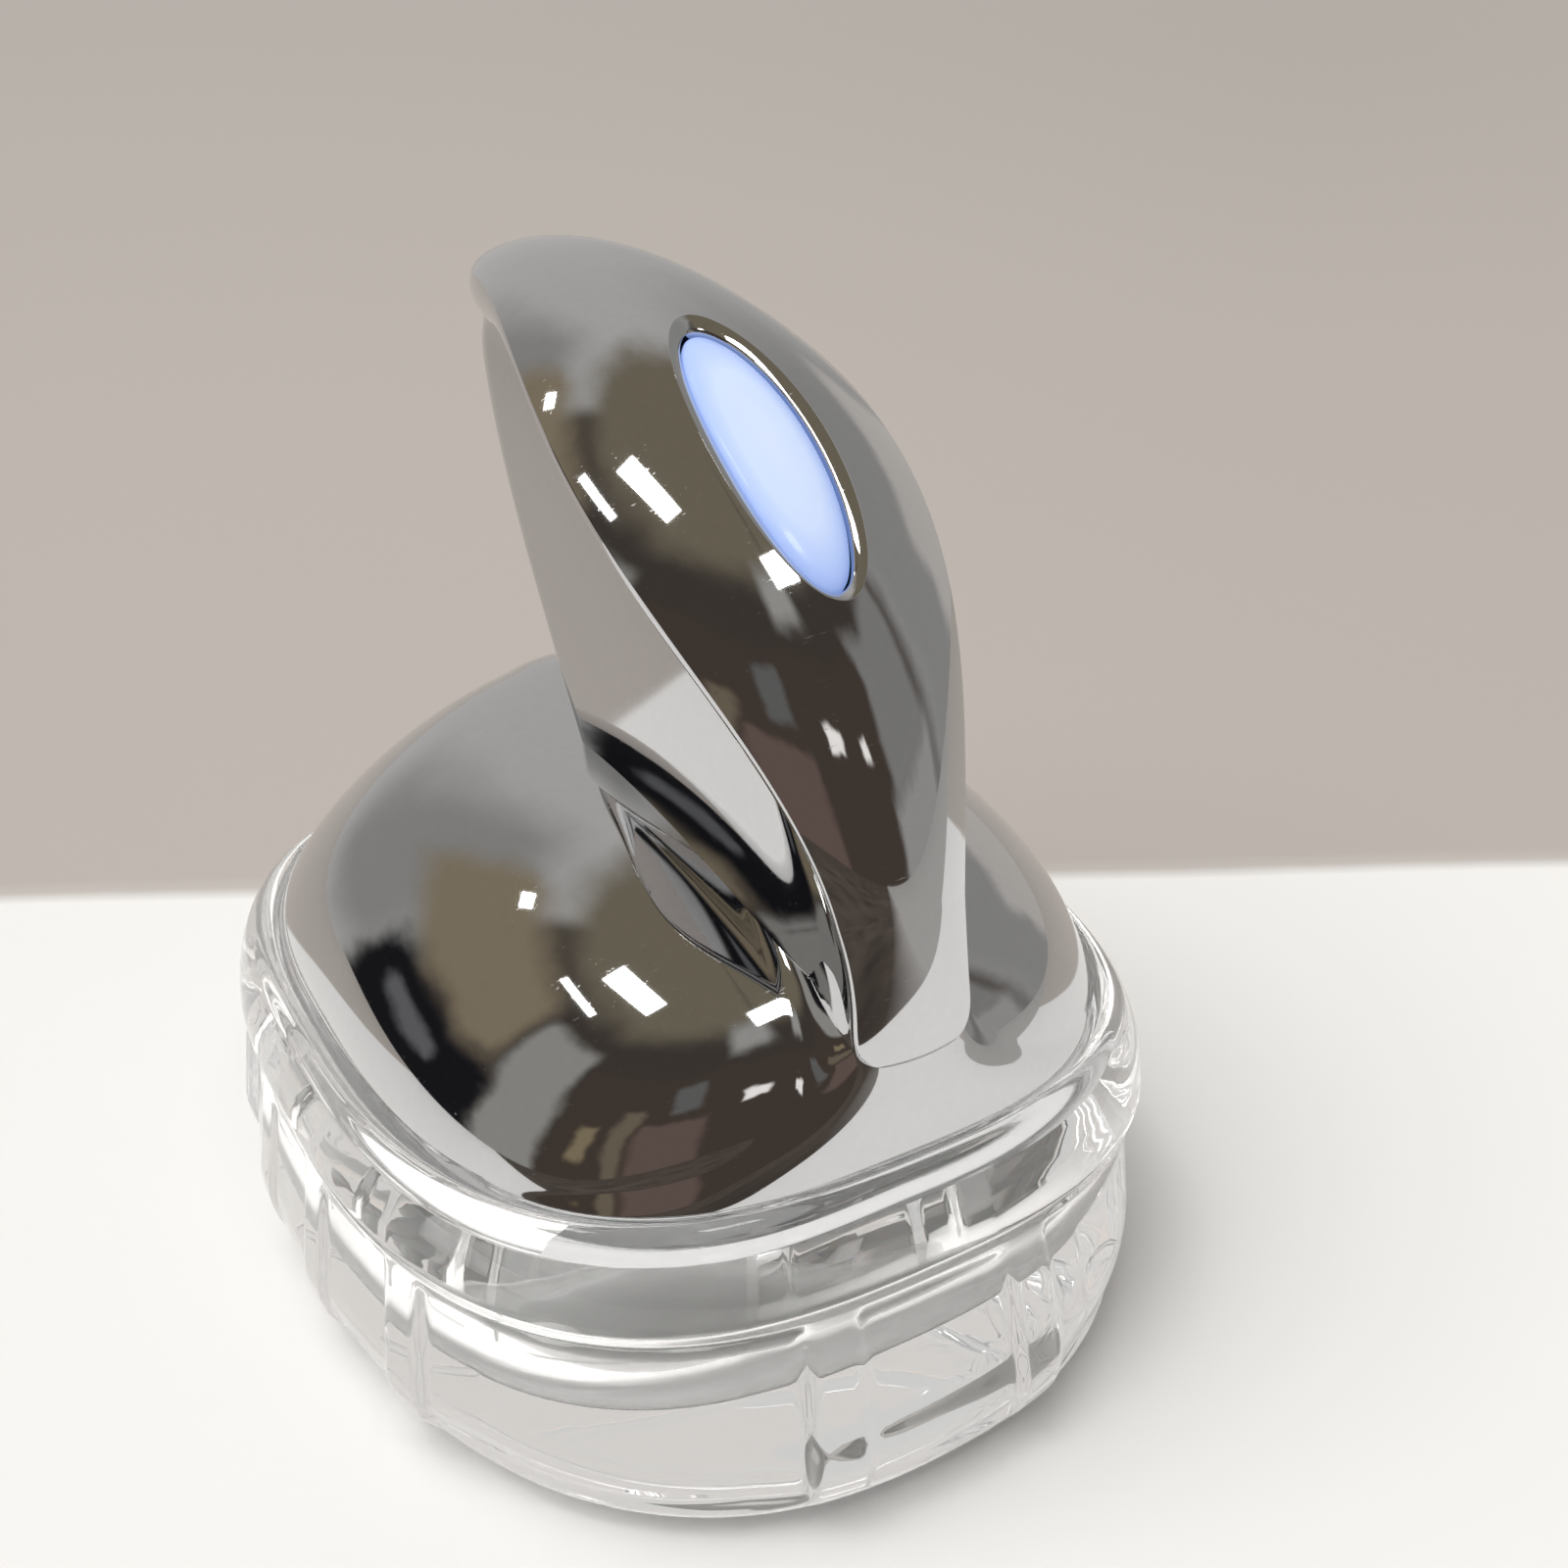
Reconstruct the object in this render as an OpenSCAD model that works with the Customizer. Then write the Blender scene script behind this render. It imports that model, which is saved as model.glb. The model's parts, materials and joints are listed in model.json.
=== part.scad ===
// Hook-handled scalp massager parked face down on its clear stand.
// Origin: centre of the stand's underside. +Z up, -Y is the front (foot of the handle).

/* [Base shell] */
// Half of the chrome base's width at the stand's rim
base_half_w = 47.5; // [44:0.5:52]
// Half of the chrome base's depth at the stand's rim
base_half_d = 53.4; // [50:0.5:58]
// Height of the dome above the stand's rim
dome_h = 30; // [28:0.5:34]
// Squareness of the base's outline at the rim
rim_power = 2.79; // [2.4:0.01:3.2]
// Wall of the chrome shell
shell_wall = 2.6; // [2.2:0.1:3]
// Depth of the shell's skirt inside the stand's mouth
skirt_depth = 6; // [5.8:0.1:7]

/* [Handle] */
// How far the handle's foot stands out from the base's front
foot_proud = 3.6; // [3:0.1:6]
// How much further from the handle's pole its tip is than its foot
handle_rise = 33.5; // [30:0.5:38]
// Height of the handle's pole above the stand's rim
pole_h = 2; // [0:0.5:4]
// Half width of the ribbon at its foot
foot_half_w = 7.2; // [6.8:0.1:8.5]
// Half width of the ribbon at its widest
ribbon_half_w = 19.5; // [18.8:0.1:22]
// Half thickness of the handle's neck
neck_half = 6.5; // [6.3:0.1:7]
// Wall of the neck
neck_wall = 2.2; // [1.8:0.1:2.4]
// Thickness of the ribbon cover
cover_t = 2.2; // [1.8:0.1:2.6]

/* [Button] */
// Half length of the oval button
button_half_l = 17.6; // [15:0.1:18]
// Half width of the oval button
button_half_w = 5.9; // [4.8:0.1:6.5]
// Width of the bevelled ring round the button
bezel_w = 1.8; // [1.4:0.1:2]
// Travel of the button
button_travel = 0.6; // [0.3:0.1:0.6]

/* [Stand] */
// Height of the stand's rim above the table
stand_h = 40; // [39:0.5:46]
// Thickness of the stand's floor
floor_t = 6; // [5:0.5:6.5]
// Bulge of the stand beyond the chrome base
stand_bulge = 6.5; // [5.5:0.1:8]
// Wall of the bowl below its ledge
bowl_inset = 5; // [4:0.1:6]
// Number of flat panels round the bowl
panel_count = 16; // [12:4:24]
// Gap between the device and the stand
seat_gap = 0.3; // [0.2:0.05:0.5]

/* [Drive] */
// Diameter of the motor
motor_d = 24; // [20:0.5:25]
// Length of the motor
motor_l = 12; // [9:0.5:13]
// Thickness of the base plate
plate_t = 3; // [2.5:0.1:3.2]
// Diameter of each head's shaft
shaft_d = 5; // [4:0.1:6]

/* [Kneading heads] */
// Fingers on each head
finger_count = 5; // [4:1:6]
// Radius of the circle that the fingers stand on
finger_circle_r = 10.5; // [9:0.1:11]
// Length of each finger
finger_l = 8; // [6:0.5:8.5]
// Radius of a finger at its root
finger_root_r = 3.6; // [3:0.1:4]
// Radius of a finger's round tip
finger_tip_r = 2.3; // [1.8:0.1:2.6]

/* [Hidden] */
$fn = 48;
// Teeth of the train: the ratios of the couplings follow from these
sun_teeth = 27;
head_teeth = 34;
idler_teeth = 15;
wheel_teeth = 44;
pinion_teeth = 12;
// The base's depth sets the module, and its width the heads' places
depth_per_module = 53.4;
gear_module = base_half_d / depth_per_module;
head_share = 8 / 19;
head_x = head_share * base_half_w;
// Tooth form
pressure_angle = 20;
backlash_share = 0.1;
tip_share = 0.8;
root_share = 1.25;
root_slot = 150;
rim_z = stand_h;
foot_r = base_half_d + foot_proud;
tip_r = foot_r + handle_rise;
shell_bottom = rim_z - skirt_depth;
// Dome's outline: how the sides, the back and the front ridge close towards the top
side_power = 1.9;
side_root = 0.54;
back_power = 0.92;
back_root = 0.23;
ridge_drop = 0.14;
crest_power = 2.01;
crest_rate = 0.3;
dome_top_share = 0.985;
// Handle's spiral: angles in the Y-Z plane about the pole, measured from +Y
foot_angle = 168;
tip_angle = 58.5;
spiral_power = 1.12;
bump_shift = 0.08;
crown_share = 0.38;
crown_foot = 0.14;
crown_rate = 1.6;
close_from = 0.86;
foot_round = 0.05;
tip_round = 7;
flank_l = 26;
flank_power = 2.4;
neck_root_r = 20;
seam = 0.12;
edge_inset = 0.6;
fit = 0.15;
// Button's frame: the crown's point at the middle of the oval, and the crown's tilt there
button_v = 0.54;
button_tilt = 32.4;
button_recess = 0.8;
button_play = 0.3;
// Depth of the lens and of the ring round it: the ring's foot, and the crown's sag over the oval's length
crown_curve_r = 67;
ring_drop = 0.1;
ring_foot = cover_t + 1;
ring_sag = pow(button_half_l + bezel_w, 2) / (2 * crown_curve_r);
lens_depth = ring_drop + ring_foot + ring_sag + 0.2;
housing_depth = lens_depth + 5;
board_t = 1.2;
// Drive train's levels
plate_z = shell_bottom + 0.2;
plate_top = plate_z + plate_t;
// Step in the skirt that the plate and its gasket bear on
plate_step = 0.8;
gasket_t = 1;
gasket_lip = 1.4;
gear_z = plate_top + 0.6;
gear_t = 4;
idler_z = gear_z + gear_t + 0.6;
idler_t = 3.5;
sun_t = gear_t + 0.6 + idler_t;
wheel_z = idler_z + idler_t + 0.5;
wheel_t = 2.5;
case_z = wheel_z + wheel_t + 0.9;
case_t = 2;
case_top = case_z + case_t;
head_reach = gear_module * (sun_teeth + head_teeth) / 2;
head_y = sqrt(head_reach * head_reach - head_x * head_x);
idler_y = gear_module * (sun_teeth + idler_teeth) / 2;
wheel_module = 2 * idler_y / (wheel_teeth + pinion_teeth);
boss_depth = 5.7;
boss_r = shaft_d / 2 + 3.2;
bush_r = shaft_d / 2 + 1.5;
bush_fit = 0.03;
flange_t = 0.4;
pin_fit = 0.05;
sun_pin_r = 1.5;
idler_pin_r = 1.25;
post_r = 3.5;
screw_r = 1.3;
screw_head_r = 2.5;
screw_head_t = 1.6;
post_inset = 13.5;
post_x = base_half_w - post_inset;
post_spots = [[post_x, 0], [-post_x, 0], [0, post_inset - base_half_d]];
head_spots = [[-head_x, -head_y], [head_x, -head_y], [head_x, head_y], [-head_x, head_y]];
hub_gap = 0.5;
hub_top = plate_z - boss_depth - hub_gap;
hub_l = 5;
hub_r = 6;
disc_t = 2.6;

function base_r(phi, a, b, n) = pow(pow(abs(cos(phi)) / a, n) + pow(abs(sin(phi)) / b, n), -1 / n);

// Closed outline of the base, grown by grow, as points at height z
function base_ring(z, grow, count, turn = 0) = [
    for (k = [0 : count - 1])
        let (
            phi = turn + 360 * k / count,
            r = base_r(phi, base_half_w + grow, base_half_d + grow, rim_power)
        )
        [r * cos(phi), r * sin(phi), z]
];

function dome_side(s, inset) = (base_half_w - inset) * pow(1 - pow(s, side_power), side_root);
function dome_front(s, inset) = (base_half_d - inset) * (1 - ridge_drop * pow(s, 4));
function dome_back(s, inset) = (base_half_d - inset) * pow(1 - pow(s, back_power), back_root);
function dome_power(s) = rim_power - (rim_power - crest_power) * pow(s, crest_rate);

// Ring of the dome at the share s of its height, inset from the outer face
function dome_ring(s, inset, count) = [
    for (k = [0 : count - 1])
        let (
            phi = 360 * k / count,
            b = sin(phi) > 0 ? dome_back(s, inset) : dome_front(s, inset),
            r = base_r(phi, dome_side(s, inset), b, dome_power(s))
        )
        [r * cos(phi), r * sin(phi), rim_z + s * (dome_h - inset)]
];

// Shares of the dome's height, closer together near the rim and near the top
function dome_shares(count) = [
    for (k = [1 : count]) dome_top_share * (0.5 - 0.5 * cos(180 * pow(k / count, 0.9)))
];

// Handle's ribbon at the station v, from 0 at the foot to 1 at the tip
function spine_angle(v) = foot_angle + (tip_angle - foot_angle) * v;
function close_share(v) = min(0.995, max(0, (v - close_from) / (1 - close_from)));
function foot_share(v) = min(0.9, max(0, (foot_round - v) / foot_round));
function closing(v) = sqrt(1 - pow(close_share(v), 2)) * sqrt(1 - pow(foot_share(v), 2));
function spine_r(v) = foot_r + (tip_r - foot_r) * pow(v, spiral_power)
    - tip_round * (1 - sqrt(1 - pow(close_share(v), 4)));
function open_half_w(v) = foot_half_w + (ribbon_half_w - foot_half_w) * pow(sin(180 * (v - bump_shift)), 2);
function ribbon_w(v) = open_half_w(v) * closing(v);
function crown_h(v) = ribbon_w(v) * min(crown_share, crown_foot + crown_rate * v);
function crown_drop(v, x) = crown_h(v) * pow(x / ribbon_w(v), 2);
function neck_w(v) = min(neck_half, open_half_w(v) - 1) * closing(v);
function flank_w(v, q, inset) = (neck_w(v) - inset)
    + (ribbon_w(v) - edge_inset * closing(v) - neck_w(v)) * pow(1 - q, flank_power);

// Point beside the handle's spine: x across, r from the pole
function spine_point(v, x, r) = [x, r * cos(spine_angle(v)), rim_z + pole_h + r * sin(spine_angle(v))];

function stations(count, from, to) = [
    for (k = [0 : count]) from + (to - from) * (0.5 - 0.5 * cos(180 * k / count))
];

// Section of the ribbon cover at v: outer crown, then the inner crown, lowered by drop
function cover_ring(v, drop, t, half) = [
    for (j = [0 : half])
        let (x = ribbon_w(v) * j / half)
        spine_point(v, x, spine_r(v) - drop - crown_drop(v, x)),
    for (j = [-half : half])
        let (x = -(ribbon_w(v) - edge_inset * closing(v)) * j / half)
        spine_point(v, x, spine_r(v) - drop - t - crown_drop(v, x)),
    for (j = [-half : -1])
        let (x = ribbon_w(v) * j / half)
        spine_point(v, x, spine_r(v) - drop - crown_drop(v, x))
];

// Section of the neck at v: the seat under the cover, then the hollow flanks down into the dome
function neck_ring(v, inset, lift, half, steps) =
    let (
        w = flank_w(v, 0, inset),
        top = spine_r(v) - cover_t - seam + lift,
        edge = top - lift - crown_drop(v, w),
        right = [
            for (j = [0 : half])
                let (x = w * j / half)
                spine_point(v, x, top - crown_drop(v, x)),
            for (j = [1 : steps])
                spine_point(v, flank_w(v, j / steps, inset), edge - flank_l * j / steps),
            spine_point(v, neck_w(v) - inset, neck_root_r)
        ]
    )
    concat(right, [for (k = [len(right) - 1 : -1 : 1]) [-right[k][0], right[k][1], right[k][2]]]);

// Solid through a stack of rings
module loft(rings) {
    n = len(rings[0]);
    m = len(rings);
    sides = [
        for (j = [0 : m - 2], k = [0 : n - 1])
            let (a = j * n + k, b = j * n + (k + 1) % n)
            each [[a, a + n, b + n], [a, b + n, b]]
    ];
    caps = [[for (k = [0 : n - 1]) k], [for (k = [n - 1 : -1 : 0]) (m - 1) * n + k]];
    polyhedron(points = [for (ring = rings) each ring], faces = concat(sides, caps));
}

module base_outline(grow) {
    polygon([for (p = base_ring(0, grow, 72)) [p[0], p[1]]]);
}

module oval(half_l, half_w) {
    polygon([for (k = [0 : 47]) [half_w * cos(7.5 * k), half_l * sin(7.5 * k)]]);
}

module at_button() {
    r = spine_r(button_v);
    translate(spine_point(button_v, 0, r)) rotate([button_tilt, 0, 0]) children();
}

// Involute gear: half of each tooth's width, in degrees, at the radius r
function involute(r, base) = sqrt(max(0, r * r / (base * base) - 1)) * 180 / PI - acos(min(1, base / r));
function tooth_half(m, teeth, r) =
    let (pitch = m * teeth / 2, base = pitch * cos(pressure_angle))
    90 / teeth - backlash_share * m / pitch * 180 / PI
        + involute(pitch, base) - involute(max(r, base), base);

module gear(m, teeth, t, phase) {
    pitch = m * teeth / 2;
    radii = [for (k = [0 : 3]) pitch - m + k * (1 + tip_share) * m / 3];
    root = pitch - root_share * m;
    linear_extrude(t) polygon([
        for (k = [0 : teeth - 1])
            let (mid = phase + 360 * k / teeth)
            each [
                root * [cos(mid - root_slot / teeth), sin(mid - root_slot / teeth)],
                for (r = radii)
                    r * [cos(mid - tooth_half(m, teeth, r)), sin(mid - tooth_half(m, teeth, r))],
                for (j = [3 : -1 : 0])
                    let (r = radii[j])
                    r * [cos(mid + tooth_half(m, teeth, r)), sin(mid + tooth_half(m, teeth, r))],
                root * [cos(mid + root_slot / teeth), sin(mid + root_slot / teeth)]
            ]
    ]);
}

// Phase of a gear that meshes with one of phase 0, seen from that one at the angle dir
function mesh_phase(teeth_a, teeth_b, dir) = dir + 180 - (0.5 - dir * teeth_a / 360) * 360 / teeth_b;

// Profiles of the stand, as pairs of height and growth: in shares of its height and bulge for the bowl,
// from the rim and the bulge for the collar, and from the floor and the wall for the hollow
bowl_profile = [[0, -0.18], [0.03, 0.12], [0.1, 0.49], [0.25, 0.8], [0.45, 0.97], [0.75, 0.94]];
collar_profile = [[-10.6, -0.9], [-9.8, 0], [-7, 0], [-4, -0.7], [-1.5, -1.9], [-0.4, -3.1], [0, -4.1]];
hollow_profile = [[0, -9], [1.5, -4], [5, -1.5], [13, -0.2]];

module clear_stand() {
    color([0.9, 0.95, 0.97, 0.4]) difference() {
        union() {
            loft([
                for (p = bowl_profile)
                    base_ring(p[0] * stand_h, p[1] * stand_bulge, panel_count, 180 / panel_count)
            ]);
            loft([
                for (p = collar_profile)
                    base_ring(rim_z + p[0], stand_bulge + p[1], 72)
            ]);
        }
        loft(concat(
            [
                for (p = hollow_profile)
                    base_ring(floor_t + p[0], p[1] - bowl_inset, 72)
            ],
            [
                base_ring(shell_bottom - seat_gap, -bowl_inset, 72),
                base_ring(shell_bottom - seat_gap, seat_gap, 72),
                base_ring(rim_z + 1, seat_gap, 72)
            ]
        ));
    }
}

module body_shell() {
    shelf_z = plate_top + gasket_t;
    color([0.78, 0.79, 0.81]) difference() {
        union() {
            loft(concat(
                [base_ring(shell_bottom, 0, 72), base_ring(rim_z, 0, 72)],
                [for (s = dome_shares(16)) dome_ring(s, 0, 72)]
            ));
            loft([for (v = stations(30, 0.01, 1)) neck_ring(v, 0, 0, 5, 7)]);
        }
        loft(concat(
            [
                base_ring(shell_bottom - 1, plate_step - shell_wall, 72),
                base_ring(shelf_z, plate_step - shell_wall, 72),
                base_ring(shelf_z, -shell_wall, 72),
                base_ring(rim_z, -shell_wall, 72)
            ],
            [for (s = dome_shares(10)) dome_ring(s, shell_wall, 72)]
        ));
        loft([for (v = stations(16, 0.12, 0.93)) neck_ring(v, neck_wall, cover_t, 3, 5)]);
        translate([0, socket_y() + 1, socket_z]) rotate([90, 0, 0]) linear_extrude(8) socket_outline(fit);
    }
}

module handle_cover() {
    color([0.8, 0.81, 0.83]) difference() {
        loft([for (v = stations(34, 0, 1)) cover_ring(v, 0, cover_t, 8)]);
        at_button() translate([0, 0, -housing_depth]) linear_extrude(2 * housing_depth)
            oval(button_half_l + bezel_w + seam, button_half_w + bezel_w + seam);
    }
}

// Part of the ribbon's own curve, lowered by drop and t thick, over the button
module crown_slice(drop, t) {
    loft([for (v = stations(14, button_v - 0.28, button_v + 0.28)) cover_ring(v, drop, t, 8)]);
}

module button_bezel() {
    color([0.72, 0.73, 0.75]) intersection() {
        crown_slice(ring_drop, ring_foot);
        at_button() translate([0, 0, -housing_depth]) linear_extrude(2 * housing_depth) difference() {
            oval(button_half_l + bezel_w, button_half_w + bezel_w);
            oval(button_half_l + button_play, button_half_w + button_play);
        }
    }
}

module power_button() {
    color([0.72, 0.8, 0.96]) intersection() {
        crown_slice(button_recess, 2 * lens_depth);
        at_button() translate([0, 0, -lens_depth]) linear_extrude(2 * lens_depth)
            oval(button_half_l, button_half_w);
    }
}

module button_housing() {
    color([0.25, 0.26, 0.28]) at_button() difference() {
        translate([0, 0, -housing_depth]) linear_extrude(housing_depth - lens_depth)
            oval(button_half_l + bezel_w, button_half_w + bezel_w);
        translate([0, 0, -housing_depth - 1]) linear_extrude(housing_depth)
            oval(button_half_l + button_play, button_half_w + button_play);
    }
}

module button_board() {
    color([0.1, 0.4, 0.25]) at_button() translate([0, 0, -housing_depth]) {
        linear_extrude(board_t) oval(button_half_l + button_play, button_half_w + button_play);
        for (side = [-1, 1]) translate([-1.5, side * 10 - 1.2, board_t]) cube([3, 2.4, 1]);
    }
}

module button_switch() {
    body_t = housing_depth - lens_depth - board_t - button_travel - 0.8;
    color([0.15, 0.15, 0.16]) at_button() translate([0, 0, board_t - housing_depth]) {
        translate([-3, -3, 0]) cube([6, 6, body_t]);
        cylinder(d = 3, h = body_t + 0.6);
    }
}

battery_t = 2 * (neck_half - neck_wall - 1.3);
battery_l = 32;
battery_h = 20;
cradle_wall = 1.5;
cradle_back = 10.3;
battery_y = cradle_back - cradle_wall - battery_l / 2;
battery_z = rim_z + dome_h + 4;

module battery_cradle() {
    cradle_t = 2 * (neck_half - neck_wall - fit);
    color([0.2, 0.2, 0.22]) translate([0, battery_y, battery_z]) difference() {
        translate([-cradle_t / 2, -battery_l / 2 - cradle_wall, -cradle_wall])
            cube([cradle_t, battery_l + 2 * cradle_wall, battery_h / 2]);
        translate([-battery_t / 2, -battery_l / 2, 0]) cube([battery_t, battery_l, battery_h]);
    }
}

module battery_pack() {
    color([0.25, 0.45, 0.7]) translate([-battery_t / 2, battery_y - battery_l / 2, battery_z])
        cube([battery_t, battery_l, battery_h]);
}

board_w = 30;
board_l = 22;
board_front = 14.4 - base_half_d;
board_rim = 3;
standoff = 2;
board_spots = [
    for (i = [-1, 1], j = [board_rim, board_l - board_rim]) [i * (board_w / 2 - board_rim), board_front + j]
];

module main_board() {
    color([0.1, 0.4, 0.25]) translate([0, 0, case_top + standoff]) {
        translate([-board_w / 2, board_front, 0]) cube([board_w, board_l, board_t]);
        translate([-4, board_front + 6, board_t]) cube([8, 8, 1.2]);
        translate([8, board_front + 11, board_t]) cylinder(d = 5, h = 4);
    }
}

module gear_case() {
    arm_w = 10;
    color([0.85, 0.85, 0.83]) difference() {
        union() {
            translate([0, 0, case_z]) linear_extrude(case_t) {
                circle(r = motor_d / 2 + 3);
                translate([-board_w / 2 - 2, board_front - 2]) square([board_w + 4, 2 - board_front]);
                translate([-arm_w / 2, 0]) square([arm_w, idler_y + 4]);
                for (p = post_spots) translate(p) circle(r = post_r + 1);
                translate([-post_x, -arm_w / 2]) square([2 * post_x, arm_w]);
            }
            for (p = post_spots)
                translate([p[0], p[1], plate_top]) cylinder(r = post_r, h = case_z - plate_top);
            for (p = board_spots) translate([p[0], p[1], case_top]) cylinder(r = 2, h = standoff);
        }
        translate([0, 0, case_z - 1]) cylinder(r = motor_boss_r + fit, h = case_t + 2);
        translate([0, idler_y, case_z - 1]) cylinder(r = idler_pin_r, h = case_t);
        for (p = post_spots) translate([p[0], p[1], plate_top - 1]) cylinder(r = screw_r, h = 8);
        for (side = [-1, 1])
            translate([side * motor_screw_x, 0, case_z - 1]) cylinder(r = motor_screw_r, h = case_t + 2);
    }
}

pinion_z = wheel_z - 0.1;
motor_shaft_r = 1;
motor_boss_r = 2.9;
motor_screw_x = 8;
motor_screw_r = 1;

module motor() {
    color([0.6, 0.61, 0.63]) difference() {
        union() {
            translate([0, 0, case_top]) cylinder(d = motor_d, h = motor_l);
            translate([0, 0, case_z + 0.4]) cylinder(r = motor_boss_r, h = case_t);
        }
        translate([0, 0, case_z - 1]) cylinder(r = motor_shaft_r + pin_fit, h = case_t + motor_l / 2 + 1);
        for (side = [-1, 1])
            translate([side * motor_screw_x, 0, case_top - 1]) cylinder(r = motor_screw_r, h = 4);
    }
}

module motor_screws() {
    color([0.5, 0.5, 0.52]) for (side = [-1, 1]) translate([side * motor_screw_x, 0, case_z]) {
        cylinder(r = motor_screw_r, h = case_t + 2.5);
        translate([0, 0, -0.8]) cylinder(r = 1.8, h = 0.8);
    }
}

module motor_pinion() {
    shaft_top = case_top + motor_l / 2 - 0.5;
    phase = mesh_phase(wheel_teeth, pinion_teeth, 270);
    color([0.8, 0.66, 0.3]) union() {
        translate([0, 0, pinion_z]) gear(wheel_module, pinion_teeth, wheel_t + 0.4, phase);
        translate([0, 0, pinion_z]) cylinder(r = motor_shaft_r, h = shaft_top - pinion_z);
    }
}

module idler_gear() {
    color([0.92, 0.9, 0.84]) translate([0, idler_y, 0]) difference() {
        union() {
            translate([0, 0, idler_z])
                gear(gear_module, idler_teeth, idler_t, mesh_phase(sun_teeth, idler_teeth, 90));
            translate([0, 0, idler_z + idler_t]) cylinder(r = 4, h = wheel_z - idler_z - idler_t);
            translate([0, 0, wheel_z]) gear(wheel_module, wheel_teeth, wheel_t, 0);
        }
        translate([0, 0, idler_z - 1]) cylinder(r = idler_pin_r + pin_fit, h = 20);
    }
}

module idler_pin() {
    color([0.7, 0.71, 0.73]) translate([0, idler_y, plate_z + 0.8])
        cylinder(r = idler_pin_r, h = case_z + case_t - 1 - plate_z - 0.8);
}

module sun_gear() {
    color([0.92, 0.9, 0.84]) difference() {
        translate([0, 0, gear_z]) gear(gear_module, sun_teeth, sun_t, 0);
        translate([0, 0, gear_z - 1]) cylinder(r = sun_pin_r + pin_fit, h = sun_t + 2);
    }
}

module sun_pin() {
    color([0.7, 0.71, 0.73]) translate([0, 0, plate_z + 0.8])
        cylinder(r = sun_pin_r, h = gear_z + sun_t - 0.3 - plate_z - 0.8);
}

module base_plate() {
    color([0.93, 0.93, 0.92]) difference() {
        union() {
            translate([0, 0, plate_z]) linear_extrude(plate_t) base_outline(plate_step - shell_wall - fit);
            for (p = head_spots)
                translate([p[0], p[1], plate_z - boss_depth]) cylinder(r = boss_r, h = boss_depth + 1);
        }
        for (p = head_spots) translate([p[0], p[1], plate_z - boss_depth - 1])
            cylinder(r = bush_r, h = boss_depth + plate_t + 2);
        translate([0, 0, plate_z + 0.8]) cylinder(r = sun_pin_r, h = plate_t);
        translate([0, idler_y, plate_z + 0.8]) cylinder(r = idler_pin_r, h = plate_t);
        for (p = post_spots) translate([p[0], p[1], plate_z - 1]) {
            cylinder(r = screw_r, h = plate_t + 2);
            cylinder(r = screw_head_r, h = 1 + screw_head_t);
        }
    }
}

module base_gasket() {
    color([0.3, 0.3, 0.32]) translate([0, 0, plate_top]) linear_extrude(gasket_t) difference() {
        base_outline(plate_step - shell_wall - fit);
        base_outline(-shell_wall - gasket_lip);
    }
}

seal_t = 2.2;

module shaft_bushes() {
    color([0.75, 0.6, 0.35]) for (p = head_spots) translate([p[0], p[1], 0]) difference() {
        union() {
            translate([0, 0, plate_z - boss_depth + seal_t + 0.2]) cylinder(
                r = bush_r, h = boss_depth + plate_t - seal_t - 0.2);
            translate([0, 0, plate_top]) cylinder(r = bush_r + 1, h = flange_t);
        }
        translate([0, 0, plate_z - boss_depth]) cylinder(
            r = shaft_d / 2 + bush_fit, h = boss_depth + plate_t + 2);
    }
}

module shaft_seals() {
    color([0.15, 0.15, 0.16]) for (p = head_spots)
        translate([p[0], p[1], plate_z - boss_depth]) difference() {
            cylinder(r = bush_r, h = seal_t);
            translate([0, 0, -1]) cylinder(r = shaft_d / 2 + pin_fit, h = seal_t + 2);
        }
}

module case_screws() {
    color([0.5, 0.5, 0.52]) for (p = post_spots) translate([p[0], p[1], plate_z]) {
        cylinder(r = screw_head_r, h = screw_head_t);
        cylinder(r = screw_r, h = plate_t + 6.5);
    }
}

socket_z = rim_z + 4.5;
socket_w = 9;
socket_h = 3.2;
socket_l = 7;
function socket_y() = dome_back((socket_z - rim_z) / dome_h, 0);

module socket_outline(grow) {
    offset_r = socket_h / 2 + grow;
    square([socket_w - socket_h, 2 * offset_r], center = true);
    for (side = [-1, 1]) translate([side * (socket_w - socket_h) / 2, 0]) circle(r = offset_r);
}

module charge_socket() {
    color([0.65, 0.66, 0.68]) translate([0, socket_y() - 0.6, socket_z]) rotate([90, 0, 0]) difference() {
        linear_extrude(socket_l) socket_outline(0);
        translate([0, 0, -1]) linear_extrude(socket_l - 1) socket_outline(-0.5);
    }
}

module head_gear(index) {
    p = head_spots[index];
    turn = atan2(p[1], p[0]);
    shaft_bottom = hub_top - hub_l + 1;
    color([0.92, 0.9, 0.84]) translate([p[0], p[1], 0]) {
        translate([0, 0, gear_z])
            gear(gear_module, head_teeth, gear_t, mesh_phase(sun_teeth, head_teeth, turn));
        translate([0, 0, shaft_bottom]) cylinder(d = shaft_d, h = gear_z + gear_t - shaft_bottom);
    }
}

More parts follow.
